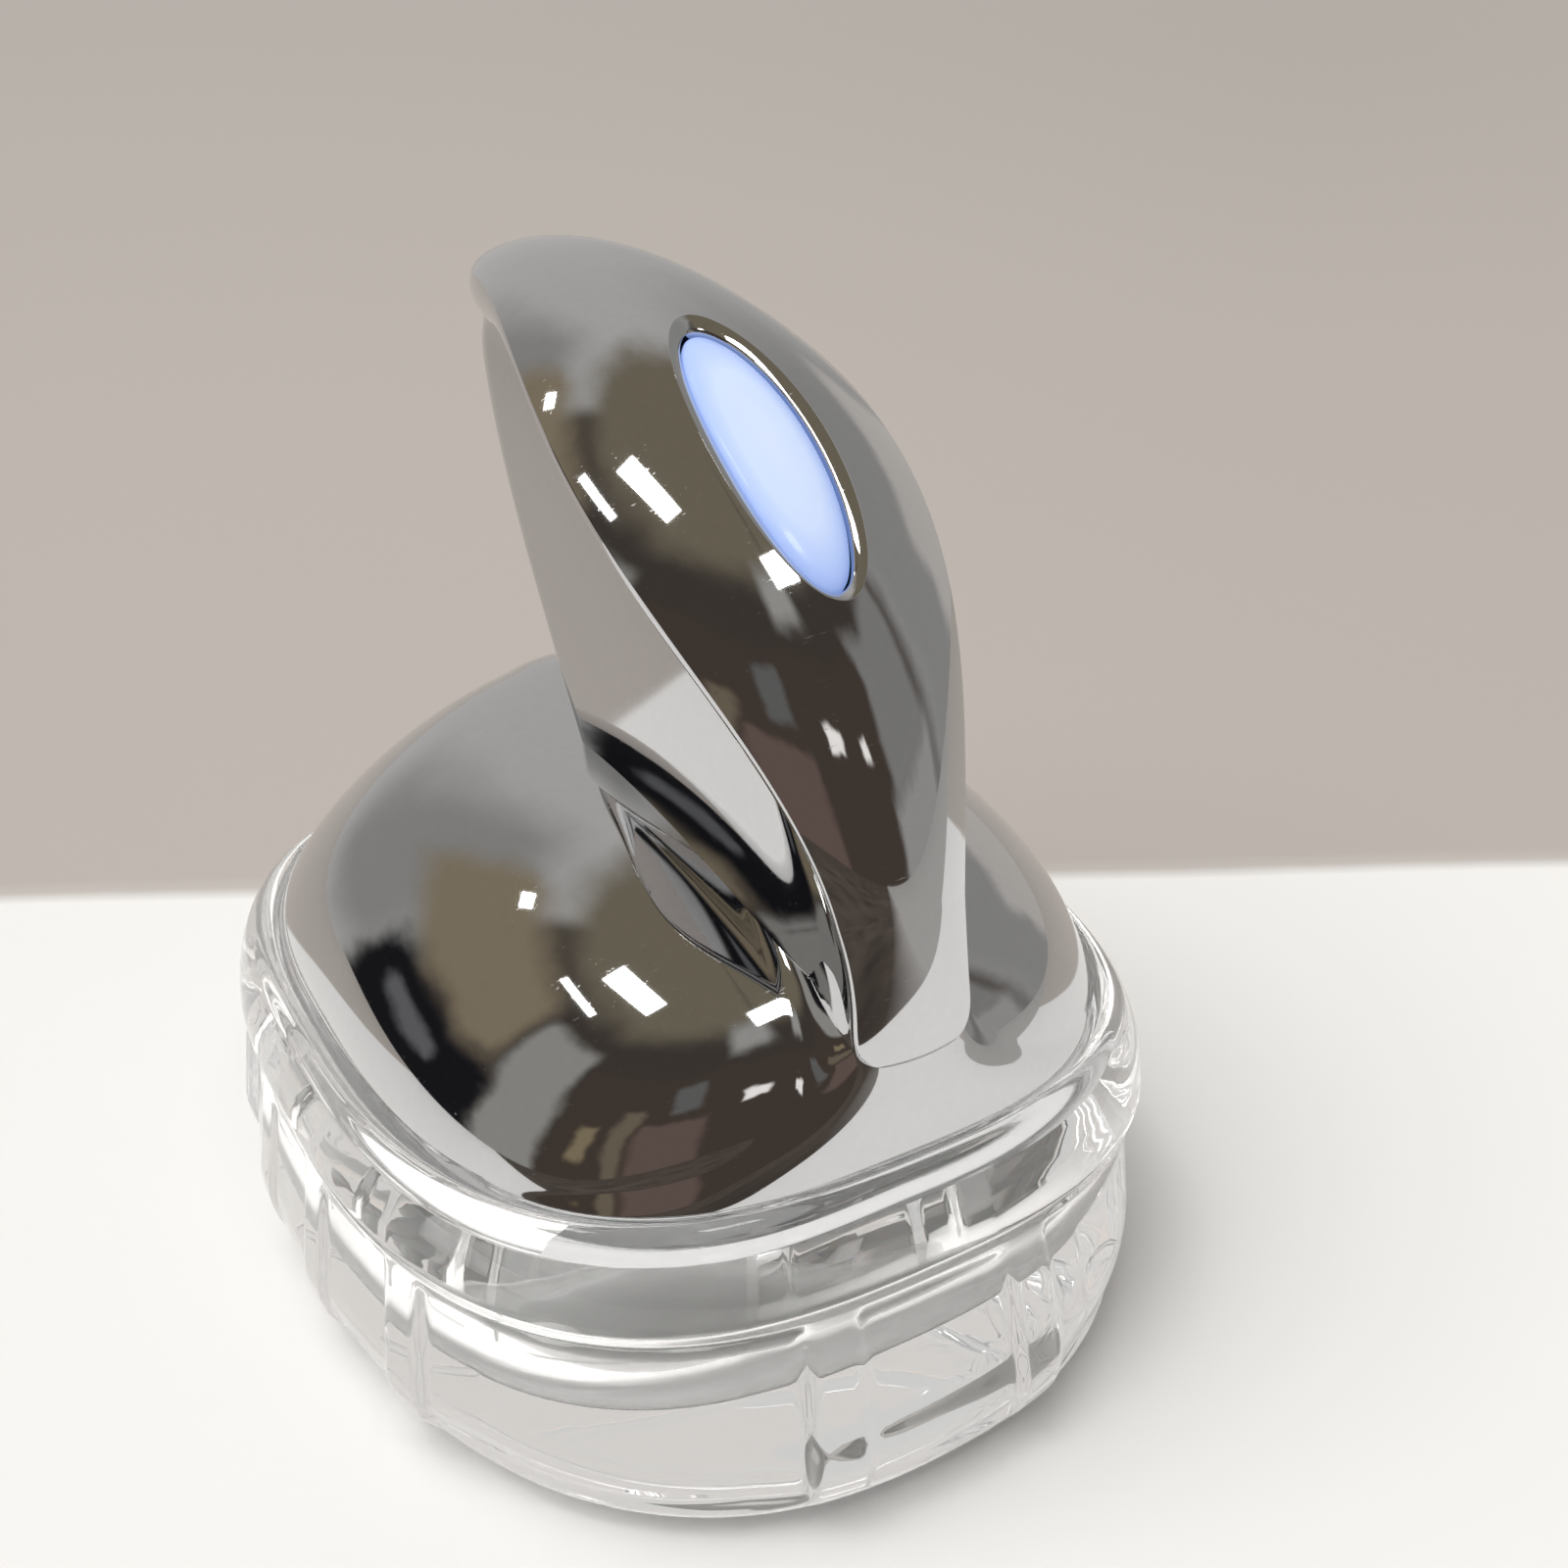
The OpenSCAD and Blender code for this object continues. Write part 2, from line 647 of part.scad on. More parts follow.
module kneading_head(index) {
    p = head_spots[index];
    disc_r = finger_circle_r + finger_root_r;
    disc_z = hub_top - hub_l;
    color([0.86, 0.86, 0.85]) translate([p[0], p[1], 0]) difference() {
        union() {
            translate([0, 0, disc_z]) cylinder(r = hub_r, h = hub_l);
            translate([0, 0, disc_z]) cylinder(r1 = disc_r - 1, r2 = disc_r, h = disc_t);
            for (k = [0 : finger_count - 1]) rotate(360 * k / finger_count + 90 * index) {
                translate([finger_circle_r, 0, disc_z + 0.5]) rotate([0, 172, 0]) {
                    cylinder(r1 = finger_root_r, r2 = finger_tip_r, h = finger_l);
                    translate([0, 0, finger_l]) sphere(r = finger_tip_r);
                }
            }
        }
        translate([0, 0, disc_z + 1]) cylinder(d = shaft_d, h = hub_l + 1);
    }
}

clear_stand();
body_shell();
handle_cover();
button_bezel();
power_button();
button_housing();
button_board();
button_switch();
battery_cradle();
battery_pack();
main_board();
gear_case();
motor();
motor_screws();
motor_pinion();
idler_gear();
idler_pin();
sun_gear();
sun_pin();
base_plate();
base_gasket();
shaft_bushes();
shaft_seals();
case_screws();
charge_socket();
head_gear(0);  // head_gear_1
head_gear(1);  // head_gear_2
head_gear(2);  // head_gear_3
head_gear(3);  // head_gear_4
kneading_head(0);  // kneading_head_1
kneading_head(1);  // kneading_head_2
kneading_head(2);  // kneading_head_3
kneading_head(3);  // kneading_head_4
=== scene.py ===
import json
import math

import bpy
import numpy as np
from mathutils import Matrix, Vector


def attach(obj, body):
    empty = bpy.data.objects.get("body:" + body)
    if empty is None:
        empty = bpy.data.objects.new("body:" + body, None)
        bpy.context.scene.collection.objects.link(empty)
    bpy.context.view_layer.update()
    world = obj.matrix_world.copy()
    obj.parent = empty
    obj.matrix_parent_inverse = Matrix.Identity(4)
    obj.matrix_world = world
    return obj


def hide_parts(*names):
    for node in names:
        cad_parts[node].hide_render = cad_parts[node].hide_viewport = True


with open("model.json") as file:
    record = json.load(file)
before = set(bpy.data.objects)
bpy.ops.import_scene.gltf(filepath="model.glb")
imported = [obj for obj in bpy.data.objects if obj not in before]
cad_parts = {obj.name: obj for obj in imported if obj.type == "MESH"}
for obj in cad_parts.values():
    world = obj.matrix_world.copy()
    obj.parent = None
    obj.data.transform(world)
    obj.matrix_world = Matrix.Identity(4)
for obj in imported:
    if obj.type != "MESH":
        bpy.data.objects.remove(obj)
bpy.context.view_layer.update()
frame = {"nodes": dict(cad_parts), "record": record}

# shapes are worked out in millimetres, and meshes are made in metres
MM = 0.001

# base: an oval dome above the stand's rim
RIM = 40.0                      # height of the stand's rim, where the chrome base shows
RIM_SOFT = 0.0025               # how softly the wall starts to lean in there
DOME = 30.0                     # height of the dome above the rim
TOP_SHARE = 0.997               # share of that height where the dome ends flat
HALF_W, HALF_D = 47.5, 53.4     # half width and half depth of the base
OVAL_N = 2.79                   # power of the base's oval at the rim
OVAL_FALL = 0.78                # how far that power falls to the top, and the curve it follows
OVAL_SOFT, OVAL_EASE = 0.06, 0.3
SIDE, CHEEK, BACK = (1.9, 0.54), (2.7, 0.56), (0.92, 0.23)  # powers of the curves that close it
WALL_LEAN = 0.14                # share of its depth that the fan's front loses at the top
FAN_HALF, FAN_SPREAD, FAN_FALL = 6.3, 25.0, 5.0     # half width, its gain at the rim, and how fast
FAN_EDGE, FAN_BLEND = 5.0, 3.2  # softness of the fan's edges and of its meeting with the cheeks
SKIRT = [34.0, 36.0, 38.0, 39.2]                    # heights of the wall that stands in the rim

# handle: a ribbon about a pole, from v = 0 at its foot to v = 1 at its nose
POLE = 42.0                     # the handle's pole in Y-Z: y 0, this height
SPINE_START, SPINE_SWEEP = 168.0, 109.5             # degrees about the pole: foot, turn to the nose
ARC = math.radians(SPINE_SWEEP)
FOOT_R, SPINE_GAIN, SPINE_POWER = 57, 33.5, 1.12    # the ribbon's distance from the pole along v
NOSE_TURN = 1.2                 # degrees that the nose reaches past the end of the CAD ribbon
NOSE_DROP = 1.8                 # how far the nose bends down
TIP_START, TIP_LENGTH, TIP_N = 0.86, 0.14, 2.6      # where and how the width closes at the nose
FOOT_LENGTH, FOOT_N = 0.06, 3                       # the same at the foot
FOOT_END = 0.0115               # length of the foot's rounding in thickness, as a share of the ribbon
WAIST, WIDEN, WAIST_AT = 7.2, 12.3, 0.08            # half width at the waist, its gain, the waist's v
COVER_T, NOSE_T = 2.2, 7.5      # thickness of the ribbon, and what its nose gains

# neck: the wedge under the ribbon
ROOT_R = 20.0                   # it starts this far from the pole, inside the dome
NECK_GAP = 0.12                 # between it and the ribbon
LIP_DEPTH, LIP_TUCK = 11.0, 0.9 # depth of the lip under the ribbon, and what it keeps from the edge
THIN_HALF, THIN_GAIN, THIN_FALL = 4.8, 7.5, 22.0    # half width below the lip, its gain further down

# button
BUTTON_V, BUTTON_TILT = 0.54, math.radians(32.4)
LENS_L, LENS_W, RING_W = 17.6, 5.3, 1.8             # lens's half length and half width, ring's width
V_LENGTH = 140.0                # about the length of the ribbon, for a first guess of v


# ---- shapes of the chrome body ------------------------------------------------------------------

def step(x, lo, hi):
    t = np.clip((x - lo) / (hi - lo), 0.0, 1.0)
    return t * t * (3 - 2 * t)


def ease(count):
    """Shares from 0 to 1 that lie closer together at both ends."""
    return 0.5 - 0.5 * np.cos(np.pi * np.linspace(0, 1, count))


def blend_min(a, b, k):
    h = np.maximum(k - np.abs(a - b), 0.0) / k
    return np.minimum(a, b) - h * h * k * 0.25


def shrink(s, powers):
    """What is left of a half width at the share s of the dome's height."""
    return (1 - s ** powers[0]) ** powers[1]


def dome_field(x, y, z, inset=0.0, full=False):
    """Dome with two round cheeks, and between them a fan from the handle's foot to the rim.

    With full, the fan's form goes all the way across and there are no cheeks.
    """
    u = (z - RIM) / (DOME - inset)
    s = np.clip(0.5 * (u + np.sqrt(u * u + RIM_SOFT)), 0.0, TOP_SHARE)
    a = (HALF_W - inset) * shrink(s, SIDE)
    wall = (HALF_D - inset) * (1 - WALL_LEAN * s ** 4)
    cheek = (HALF_D - inset) * shrink(s, CHEEK)
    back = (HALF_D - inset) * shrink(s, BACK)

    def eased(t):
        return (t + OVAL_SOFT) ** OVAL_EASE

    n = OVAL_N - OVAL_FALL * (eased(s) - eased(0)) / (eased(1) - eased(0))

    def oval_field(b):
        rho = ((np.abs(x) / a) ** n + (np.abs(y) / b) ** n + 1e-9) ** (1 / n)
        return np.maximum((rho - 1) * np.sqrt(a * b), z - RIM - TOP_SHARE * (DOME - inset))

    fan = oval_field(np.where(y > 0, back, wall))
    if full:
        return fan
    spread = FAN_SPREAD * np.exp(-np.maximum(z - RIM, -1.0) / FAN_FALL)
    beside = (np.abs(x) - FAN_HALF - spread) / np.sqrt(1 + (spread / FAN_FALL) ** 2)
    fan = -blend_min(-fan, -beside, FAN_EDGE)
    return blend_min(oval_field(np.where(y > 0, back, cheek)), fan, FAN_BLEND)


def nose_turn(v):
    return NOSE_TURN * step(v, 0.8, 1.0)


def spine_angle(v):
    return np.radians(SPINE_START - SPINE_SWEEP * v - nose_turn(v))


def tip_share(v):
    return np.clip((v - TIP_START) / TIP_LENGTH, 0.0, 0.999)


def foot_share(v):
    return np.clip((FOOT_LENGTH - v) / FOOT_LENGTH, 0.0, 0.98)


def closing(v):
    tip = (1 - tip_share(v) ** TIP_N) ** (1 / TIP_N)
    return tip * (1 - foot_share(v) ** FOOT_N) ** (1 / FOOT_N)


def spine_r(v):
    rise = FOOT_R + SPINE_GAIN * np.clip(v, 0, 1.2) ** SPINE_POWER
    return rise - NOSE_DROP * (1 - np.sqrt(1 - tip_share(v) ** 4))


def end_round(v):
    """Share of the ribbon's thickness that is left at its rounded foot."""
    return np.sqrt(1 - np.clip((FOOT_END - v) / FOOT_END, 0.0, 0.98) ** 2)


def open_w(v):
    """Half width of the ribbon before its ends close."""
    return WAIST + WIDEN * np.sin(np.pi * (v - WAIST_AT)) ** 2


def ribbon_w(v):
    return open_w(v) * closing(v)


def crown_h(v):
    """How far the ribbon's edges lie below its middle."""
    return ribbon_w(v) * np.minimum(0.38, 0.14 + 1.6 * v)


def neck_half(v, r, inset=0.0):
    """Neck at the station v and the distance r from the pole, or its hollow if there is an inset.

    Gives the half width of its flanks, and what closes them: 0 in the middle and 1 at either edge.
    """
    vv = np.clip(v, 0.0, 1.0)
    below = np.maximum(spine_r(vv) - COVER_T - NECK_GAP - crown_h(vv) - r, 0.0)
    lip = (1 - np.clip(below / LIP_DEPTH, 0.0, 1.0)) ** 3
    thin = THIN_HALF + THIN_GAIN * (1 - np.exp(-below / THIN_FALL))
    w = np.maximum(thin - inset + (open_w(vv) - LIP_TUCK - thin) * lip, 0.3)
    # way to the trailing edge, which leans forward below the nose
    reach = (1.018 - v) * ARC * r - 0.15 * np.maximum(78.0 - r, 0.0) - 1.2 * lip
    if inset == 0:
        trailing = np.maximum(0.0, 1 - reach / (7.5 + 15.0 * lip))
        leading = np.maximum(0.0, (0.066 - v) / 0.06) ** 1.5
    else:
        trailing = np.maximum(0.0, 1 - (reach - 3.0) / 6.0)
        leading = np.maximum(0.0, (0.16 - v) / 0.04)
    return w, trailing * trailing + leading * leading


def about_pole(y, z):
    """Distance from the pole, and degrees turned from the ribbon's foot."""
    dz = z - POLE
    return np.hypot(y, dz), SPINE_START - np.degrees(np.arctan2(dz, y))


def neck_field(x, y, z):
    r, turned = about_pole(y, z)
    w, close = neck_half(turned / SPINE_SWEEP, r)
    return (np.sqrt((x / w) ** 2 + close) - 1) * w


def grad(fun, p, h=0.04):
    g = np.empty_like(p)
    for i in range(3):
        offset = np.zeros(3)
        offset[i] = h
        a, b = p + offset, p - offset
        g[:, i] = (fun(a[:, 0], a[:, 1], a[:, 2]) - fun(b[:, 0], b[:, 1], b[:, 2])) / (2 * h)
    return g


def unit(v):
    return v / np.maximum(np.linalg.norm(v, axis=-1, keepdims=True), 1e-12)


# ---- meshes -------------------------------------------------------------------------------------

COARSE = 4          # cells of the fine grid in one cell of the coarse grid
CHUNK = 200000      # points worked out at a time
SETTLE = 3          # times that the points are moved onto the surface


def surface(field, lo, hi, cell):
    """Closed quad mesh of field = 0: a point in each cell that it crosses, then moved onto it."""
    lo, hi = np.array(lo, float), np.array(hi, float)
    n = np.ceil((hi - lo) / cell).astype(int) + 1
    # a coarse pass first, then exact values only near the surface
    rough_n = (n + 2) // COARSE + 2
    axes = [lo[i] + COARSE * cell * np.arange(rough_n[i]) for i in range(3)]
    rough = np.stack(np.meshgrid(*axes, indexing="ij"), -1)
    rough = field(rough.reshape(-1, 3)).reshape(rough_n)
    corner = [(i, j, k) for i in (0, 1) for j in (0, 1) for k in (0, 1)]

    def at_corners(grid, size):
        return [grid[i:i + size[0], j:j + size[1], k:k + size[2]] for i, j, k in corner]

    block = np.stack(at_corners(rough, rough_n - 1))
    f, near = block[0], np.abs(block).min(0) < 2 * COARSE * cell
    for axis in range(3):
        f, near = np.repeat(f, COARSE, axis), np.repeat(near, COARSE, axis)
    f, near = f[:n[0], :n[1], :n[2]].copy(), near[:n[0], :n[1], :n[2]]
    at = np.argwhere(near)
    for k in range(0, len(at), CHUNK):
        part = at[k:k + CHUNK]
        f[tuple(part.T)] = field(lo + cell * part)
    inside = f < 0
    m = n - 1
    count = sum(grid.astype(np.int8) for grid in at_corners(inside, m))
    cells = np.argwhere((count > 0) & (count < 8))
    index = np.full(m, -1, np.int64)
    index[tuple(cells.T)] = np.arange(len(cells))
    total, hits = np.zeros((len(cells), 3)), np.zeros(len(cells))
    for a in corner:
        for axis in range(3):
            if a[axis]:
                continue
            b = list(a)
            b[axis] = 1
            fa, fb = f[tuple((cells + a).T)], f[tuple((cells + b).T)]
            cross = (fa < 0) != (fb < 0)
            t = np.where(cross, fa / np.where(cross, fa - fb, 1.0), 0.0)
            at = np.array(a, float) + t[:, None] * (np.array(b) - np.array(a))
            total += np.where(cross[:, None], at, 0.0)
            hits += cross
    verts = lo + cell * (cells + total / hits[:, None])
    quads = []
    for axis in range(3):
        u, w = (axis + 1) % 3, (axis + 2) % 3
        a = [slice(None)] * 3
        b = [slice(None)] * 3
        a[axis], b[axis] = slice(0, -1), slice(1, None)
        first, second = inside[tuple(a)], inside[tuple(b)]
        at = np.argwhere(first != second)
        at = at[(at[:, u] > 0) & (at[:, w] > 0) & (at[:, u] < m[u]) & (at[:, w] < m[w])]
        ring = []
        for du, dw in ((-1, -1), (0, -1), (0, 0), (-1, 0)):
            c = at.copy()
            c[:, u] += du
            c[:, w] += dw
            ring.append(index[tuple(c.T)])
        ring = np.stack(ring, 1)
        flip = ~first[tuple(at.T)]
        ring[flip] = ring[flip][:, ::-1]
        quads.append(ring)
    quads = np.concatenate(quads)
    for _ in range(SETTLE):
        g = grad(lambda x, y, z: field(np.stack([x, y, z], 1)), verts)
        size = np.maximum((g * g).sum(1), 0.05)
        move = -(field(verts) / size)[:, None] * g
        length = np.linalg.norm(move, axis=1, keepdims=True)
        verts = verts + move * np.minimum(1.0, 0.5 * cell / np.maximum(length, 1e-9))
    return verts, quads


def new_mesh(name, verts, faces):
    mesh = bpy.data.meshes.new(name)
    mesh.from_pydata((np.asarray(verts) * MM).tolist(), [], [list(map(int, f)) for f in faces])
    return mesh


def new_object(name, data):
    obj = bpy.data.objects.new(name, data)
    bpy.context.collection.objects.link(obj)
    return obj


def all_smooth(mesh):
    mesh.polygons.foreach_set("use_smooth", np.ones(len(mesh.polygons), bool))


def make(name, verts, faces, body, material, slot):
    mesh = new_mesh(name, verts, faces)
    mesh.validate()
    mesh.update()
    mesh.materials.append(material)
    obj = new_object(name, mesh)
    all_smooth(mesh)
    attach(obj, body)
    return obj


def read(items, key, width=1, kind=np.float32):
    """One property of all of a mesh's items."""
    out = np.empty(len(items) * width, kind)
    items.foreach_get(key, out)
    return out.reshape(-1, width) if width > 1 else out


def exact_normals(obj, shapes, limit=35.0):
    """Corner normals from the formula of the shape a face lies on, and plain smooth ones elsewhere.

    A face lies on a shape if their directions are within limit degrees.
    """
    mesh = obj.data
    mesh.set_sharp_from_angle(angle=math.radians(42))
    co = read(mesh.vertices, "co", 3).astype(float) / MM
    loop_vert = read(mesh.loops, "vertex_index", kind=np.int32)
    out = read(mesh.corner_normals, "vector", 3)
    size = read(mesh.polygons, "loop_total", kind=np.int32)
    face_of = np.repeat(read(mesh.polygons, "normal", 3).astype(float), size, axis=0)
    best = np.full(len(loop_vert), math.cos(math.radians(limit)))
    for field in shapes:
        want = unit(grad(field, co))[loop_vert]
        fit = (want * face_of).sum(1)
        out[fit > best] = want[fit > best]
        best = np.maximum(best, fit)
    mesh.normals_split_custom_set(out.tolist())


def join(obj, others):
    """Add or cut closed meshes: pairs of what to do and (points, faces)."""
    spare = []
    for how, (verts, faces) in others:
        tool = new_object("tool", new_mesh("tool", verts, faces))
        mod = obj.modifiers.new("tool", "BOOLEAN")
        mod.operation, mod.solver, mod.object = how, "EXACT", tool
        spare.append(tool)
    dg = bpy.context.evaluated_depsgraph_get()
    obj.data = bpy.data.meshes.new_from_object(obj.evaluated_get(dg))
    obj.modifiers.clear()
    for tool in spare:
        bpy.data.objects.remove(tool)
    all_smooth(obj.data)


def loft(rings, caps=True, closed=False):
    """Points and faces through a stack of rings with the same number of points."""
    rings = np.asarray(rings)
    m, n = rings.shape[:2]
    faces = []
    last = m if closed else m - 1
    for j in range(last):
        a, b = j * n, ((j + 1) % m) * n
        faces += [(a + k, a + (k + 1) % n, b + (k + 1) % n, b + k) for k in range(n)]
    if caps and not closed:
        faces += [tuple(range(n))[::-1], tuple(range((m - 1) * n, m * n))]
    return rings.reshape(-1, 3), faces


def flipped(verts, faces):
    return verts, [f[::-1] for f in faces]


def level_ring(r, angles, z):
    """Ring about the Z axis at one height."""
    return np.stack([r * np.cos(angles), r * np.sin(angles), np.full_like(r, z)], 1)


def around(count):
    return np.linspace(0, 2 * np.pi, count, endpoint=False)


# ---- materials ----------------------------------------------------------------------------------

MIX_A, MIX_B, MIX_OUT = 6, 7, 2     # sockets of a mix node that carry colour


def fill(nt, socket, value):
    """Link another node's socket, or set a constant."""
    if isinstance(value, bpy.types.NodeSocket):
        nt.links.new(value, socket)
    else:
        socket.default_value = value


def noise_node(nt, vector, scale, detail):
    node = nt.nodes.new("ShaderNodeTexNoise")
    node.inputs["Scale"].default_value = scale
    node.inputs["Detail"].default_value = detail
    nt.links.new(vector, node.inputs["Vector"])
    return node.outputs["Fac"]


def range_node(nt, value, lo, hi, start, end, kind="LINEAR"):
    node = nt.nodes.new("ShaderNodeMapRange")
    node.interpolation_type = kind
    for key, number in (("From Min", lo), ("From Max", hi), ("To Min", start), ("To Max", end)):
        node.inputs[key].default_value = number
    nt.links.new(value, node.inputs["Value"])
    return node.outputs["Result"]


def ramp_node(nt, value, stops):
    """Colours along a value: pairs of a place and a colour, in rising order."""
    node = nt.nodes.new("ShaderNodeValToRGB")
    elements = node.color_ramp.elements
    for at, _ in stops[1:-1]:
        elements.new(at)
    for i, (at, tone) in enumerate(stops):
        elements[i].position = at
        elements[i].color = (*tone, 1)
    nt.links.new(value, node.inputs["Fac"])
    return node.outputs["Color"]


def math_node(nt, op, *values):
    node = nt.nodes.new("ShaderNodeMath")
    node.operation = op
    for socket, value in zip(node.inputs, values):
        fill(nt, socket, value)
    return node.outputs[0]


def mix_node(nt, factor, first, second):
    node = nt.nodes.new("ShaderNodeMix")
    node.data_type = "RGBA"
    fill(nt, node.inputs["Factor"], factor)
    fill(nt, node.inputs[MIX_A], first)
    fill(nt, node.inputs[MIX_B], second)
    return node.outputs[MIX_OUT]


def surface_mix(nt, factor, first, second):
    """Mix of two shaders as the material's surface."""
    node = nt.nodes.new("ShaderNodeMixShader")
    nt.links.new(factor, node.inputs["Fac"])
    nt.links.new(first, node.inputs[1])
    nt.links.new(second, node.inputs[2])
    nt.links.new(node.outputs["Shader"], nt.nodes["Material Output"].inputs["Surface"])


def material(name, color, rough, metal=0.0, spots=0.05, scale=300.0, bump=0.1, coat=0.0, **extra):
    """Principled surface with a fine mottle in its colour and roughness and a fine bump."""
    mat = bpy.data.materials.new(name)
    mat.use_nodes = True
    nt = mat.node_tree
    bsdf = nt.nodes["Principled BSDF"]
    bsdf.inputs["Metallic"].default_value = metal
    bsdf.inputs["Coat Weight"].default_value = coat
    for key, value in extra.items():
        bsdf.inputs[key.replace("_", " ")].default_value = value
    pos = nt.nodes.new("ShaderNodeTexCoord")
    mottle = noise_node(nt, pos.outputs["Object"], scale, 5)
    low, high = ([min(1, c * k) for c in color] for k in (1 - spots, 1 + spots))
    tone = ramp_node(nt, mottle, [(0.3, low), (0.7, high)])
    nt.links.new(tone, bsdf.inputs["Base Color"])
    spread = range_node(nt, mottle, 0, 1, rough * 0.8, min(1.0, rough * 1.2))
    nt.links.new(spread, bsdf.inputs["Roughness"])
    if bump:
        node = nt.nodes.new("ShaderNodeBump")
        node.inputs["Strength"].default_value = bump
        node.inputs["Distance"].default_value = 0.0002
        nt.links.new(mottle, node.inputs["Height"])
        nt.links.new(node.outputs["Normal"], bsdf.inputs["Normal"])
    return mat


CHROME = material("chrome_plate", (0.66, 0.665, 0.675), 0.035, 1.0, spots=0.015, scale=900, bump=0.0)
STEEL = material("turned_steel", (0.55, 0.56, 0.58), 0.3, 1.0, scale=900, bump=0.05)
BRASS = material("turned_brass", (0.72, 0.55, 0.25), 0.3, 1.0, scale=900, bump=0.05)
DARK = material("dark_moulding", (0.035, 0.035, 0.04), 0.5, scale=1200)
BOARD = material("board_mask", (0.02, 0.16, 0.08), 0.35, scale=500, spots=0.12)
CELL = material("cell_sleeve", (0.1, 0.2, 0.42), 0.3, scale=200)
WHITE = material("white_moulding", (0.78, 0.78, 0.77), 0.4, scale=1500)
NYLON = material("gear_nylon", (0.8, 0.77, 0.69), 0.5, scale=1500)
RUBBER = material("seal_rubber", (0.42, 0.42, 0.41), 0.6, scale=1800)
SILICONE = material("soft_silicone", (0.72, 0.72, 0.71), 0.45, scale=1800, spots=0.02,
                    Subsurface_Weight=0.25, Subsurface_Scale=0.003)
GLASS = material("clear_stand", (0.985, 0.99, 0.99), 0.004, spots=0.004, scale=60, bump=0.03,
                 Transmission_Weight=1.0, IOR=1.49)
LENS = material("lit_lens", (0.3, 0.36, 0.5), 0.25, scale=400, spots=0.02, bump=0.02, coat=0.3,
                Emission_Strength=1.0)

# light that has been thrown about inside the wall many times comes out pale instead of being lost
LATE = 12.5         # bounces
nt = GLASS.node_tree
path = nt.nodes.new("ShaderNodeLightPath")
pale = nt.nodes.new("ShaderNodeEmission")
pale.inputs["Color"].default_value = (0.6, 0.6, 0.59, 1)
surface_mix(nt, math_node(nt, "GREATER_THAN", path.outputs["Ray Depth"], LATE),
            nt.nodes["Principled BSDF"].outputs["BSDF"], pale.outputs["Emission"])

# fine scratches in the plating: long thin marks that are a little rougher than the rest
nt = CHROME.node_tree
turn = nt.nodes.new("ShaderNodeMapping")
turn.inputs["Rotation"].default_value = (0.5, 0.9, 0.6)
turn.inputs["Scale"].default_value = (50, 2600, 2600)
nt.links.new(nt.nodes["Texture Coordinate"].outputs["Object"], turn.inputs["Vector"])
marks = range_node(nt, noise_node(nt, turn.outputs["Vector"], 1.0, 2.0), 0.66, 0.76, 0.0, 0.14)
rough = nt.nodes["Principled BSDF"].inputs["Roughness"]
nt.links.new(math_node(nt, "ADD", rough.links[0].from_socket, marks), rough)

# the lens glows, with a bluer rim
nt = LENS.node_tree
edge = nt.nodes.new("ShaderNodeAttribute")
edge.attribute_name = "edge"
glow = ramp_node(nt, edge.outputs["Fac"],
                 [(0.0, (0.42, 0.47, 0.57)), (0.62, (0.37, 0.44, 0.58)), (0.95, (0.17, 0.26, 0.56))])
nt.links.new(glow, nt.nodes["Principled BSDF"].inputs["Emission Color"])

BY_SLOT = {
    "chrome": CHROME, "clear": GLASS, "lens": LENS, "dark_plastic": DARK, "circuit_board": BOARD,
    "battery": CELL, "white_plastic": WHITE, "steel": STEEL, "brass": BRASS, "gear_nylon": NYLON,
    "seal_rubber": RUBBER, "silicone": SILICONE,
}
for part in frame["record"]["subparts"]:
    node = frame["nodes"][part["node"]]
    node.data.materials.clear()
    node.data.materials.append(BY_SLOT[part["material_slot"]])


# ---- chrome body --------------------------------------------------------------------------------

FAR = 80.0                                          # outside every wall
SOCKET_R, SOCKET_HALF, SOCKET_Z = 1.75, 2.85, 44.5  # opening for the charging socket


def star(field, z, angles):
    """Distance from the Z axis to the field's zero, for each height and angle."""
    lo, hi = np.zeros((len(z), len(angles))), np.full((len(z), len(angles)), FAR)
    high = np.repeat(z[:, None], len(angles), 1)
    for _ in range(42):
        mid = (lo + hi) / 2
        inside = field(mid * np.cos(angles), mid * np.sin(angles), high) < 0
        lo, hi = np.where(inside, mid, lo), np.where(inside, hi, mid)
    return (lo + hi) / 2


def stack(z, radius, angles):
    return loft([level_ring(r, angles, h) for h, r in zip(z, radius)])


def dome_outer(angles, levels):
    z = np.concatenate([SKIRT, RIM + (TOP_SHARE * DOME - 0.02) * ease(levels)])
    return stack(z, star(dome_field, z, angles), angles)


def dome_hollow(angles, levels):
    """Hollow of the dome: the drive's room, kept under the cheeks."""
    def opening(x, y, z):
        return dome_field(x, y, z, 1.8, True)

    def drive_room(x, y, z):
        return np.maximum(dome_field(x, y, z, 2.6, True), dome_field(x, y, z + 1.0))

    z = RIM + (DOME - 3.2) * ease(levels)
    low = star(opening, np.array([RIM - 2.0]), angles)[0]
    room = np.minimum(star(drive_room, z, angles), star(dome_field, z, angles) - 1.2)
    return stack(np.concatenate([[33.0, 38.2, 38.3], z]),
                 np.concatenate([[low, low, room[0]], room]), angles)


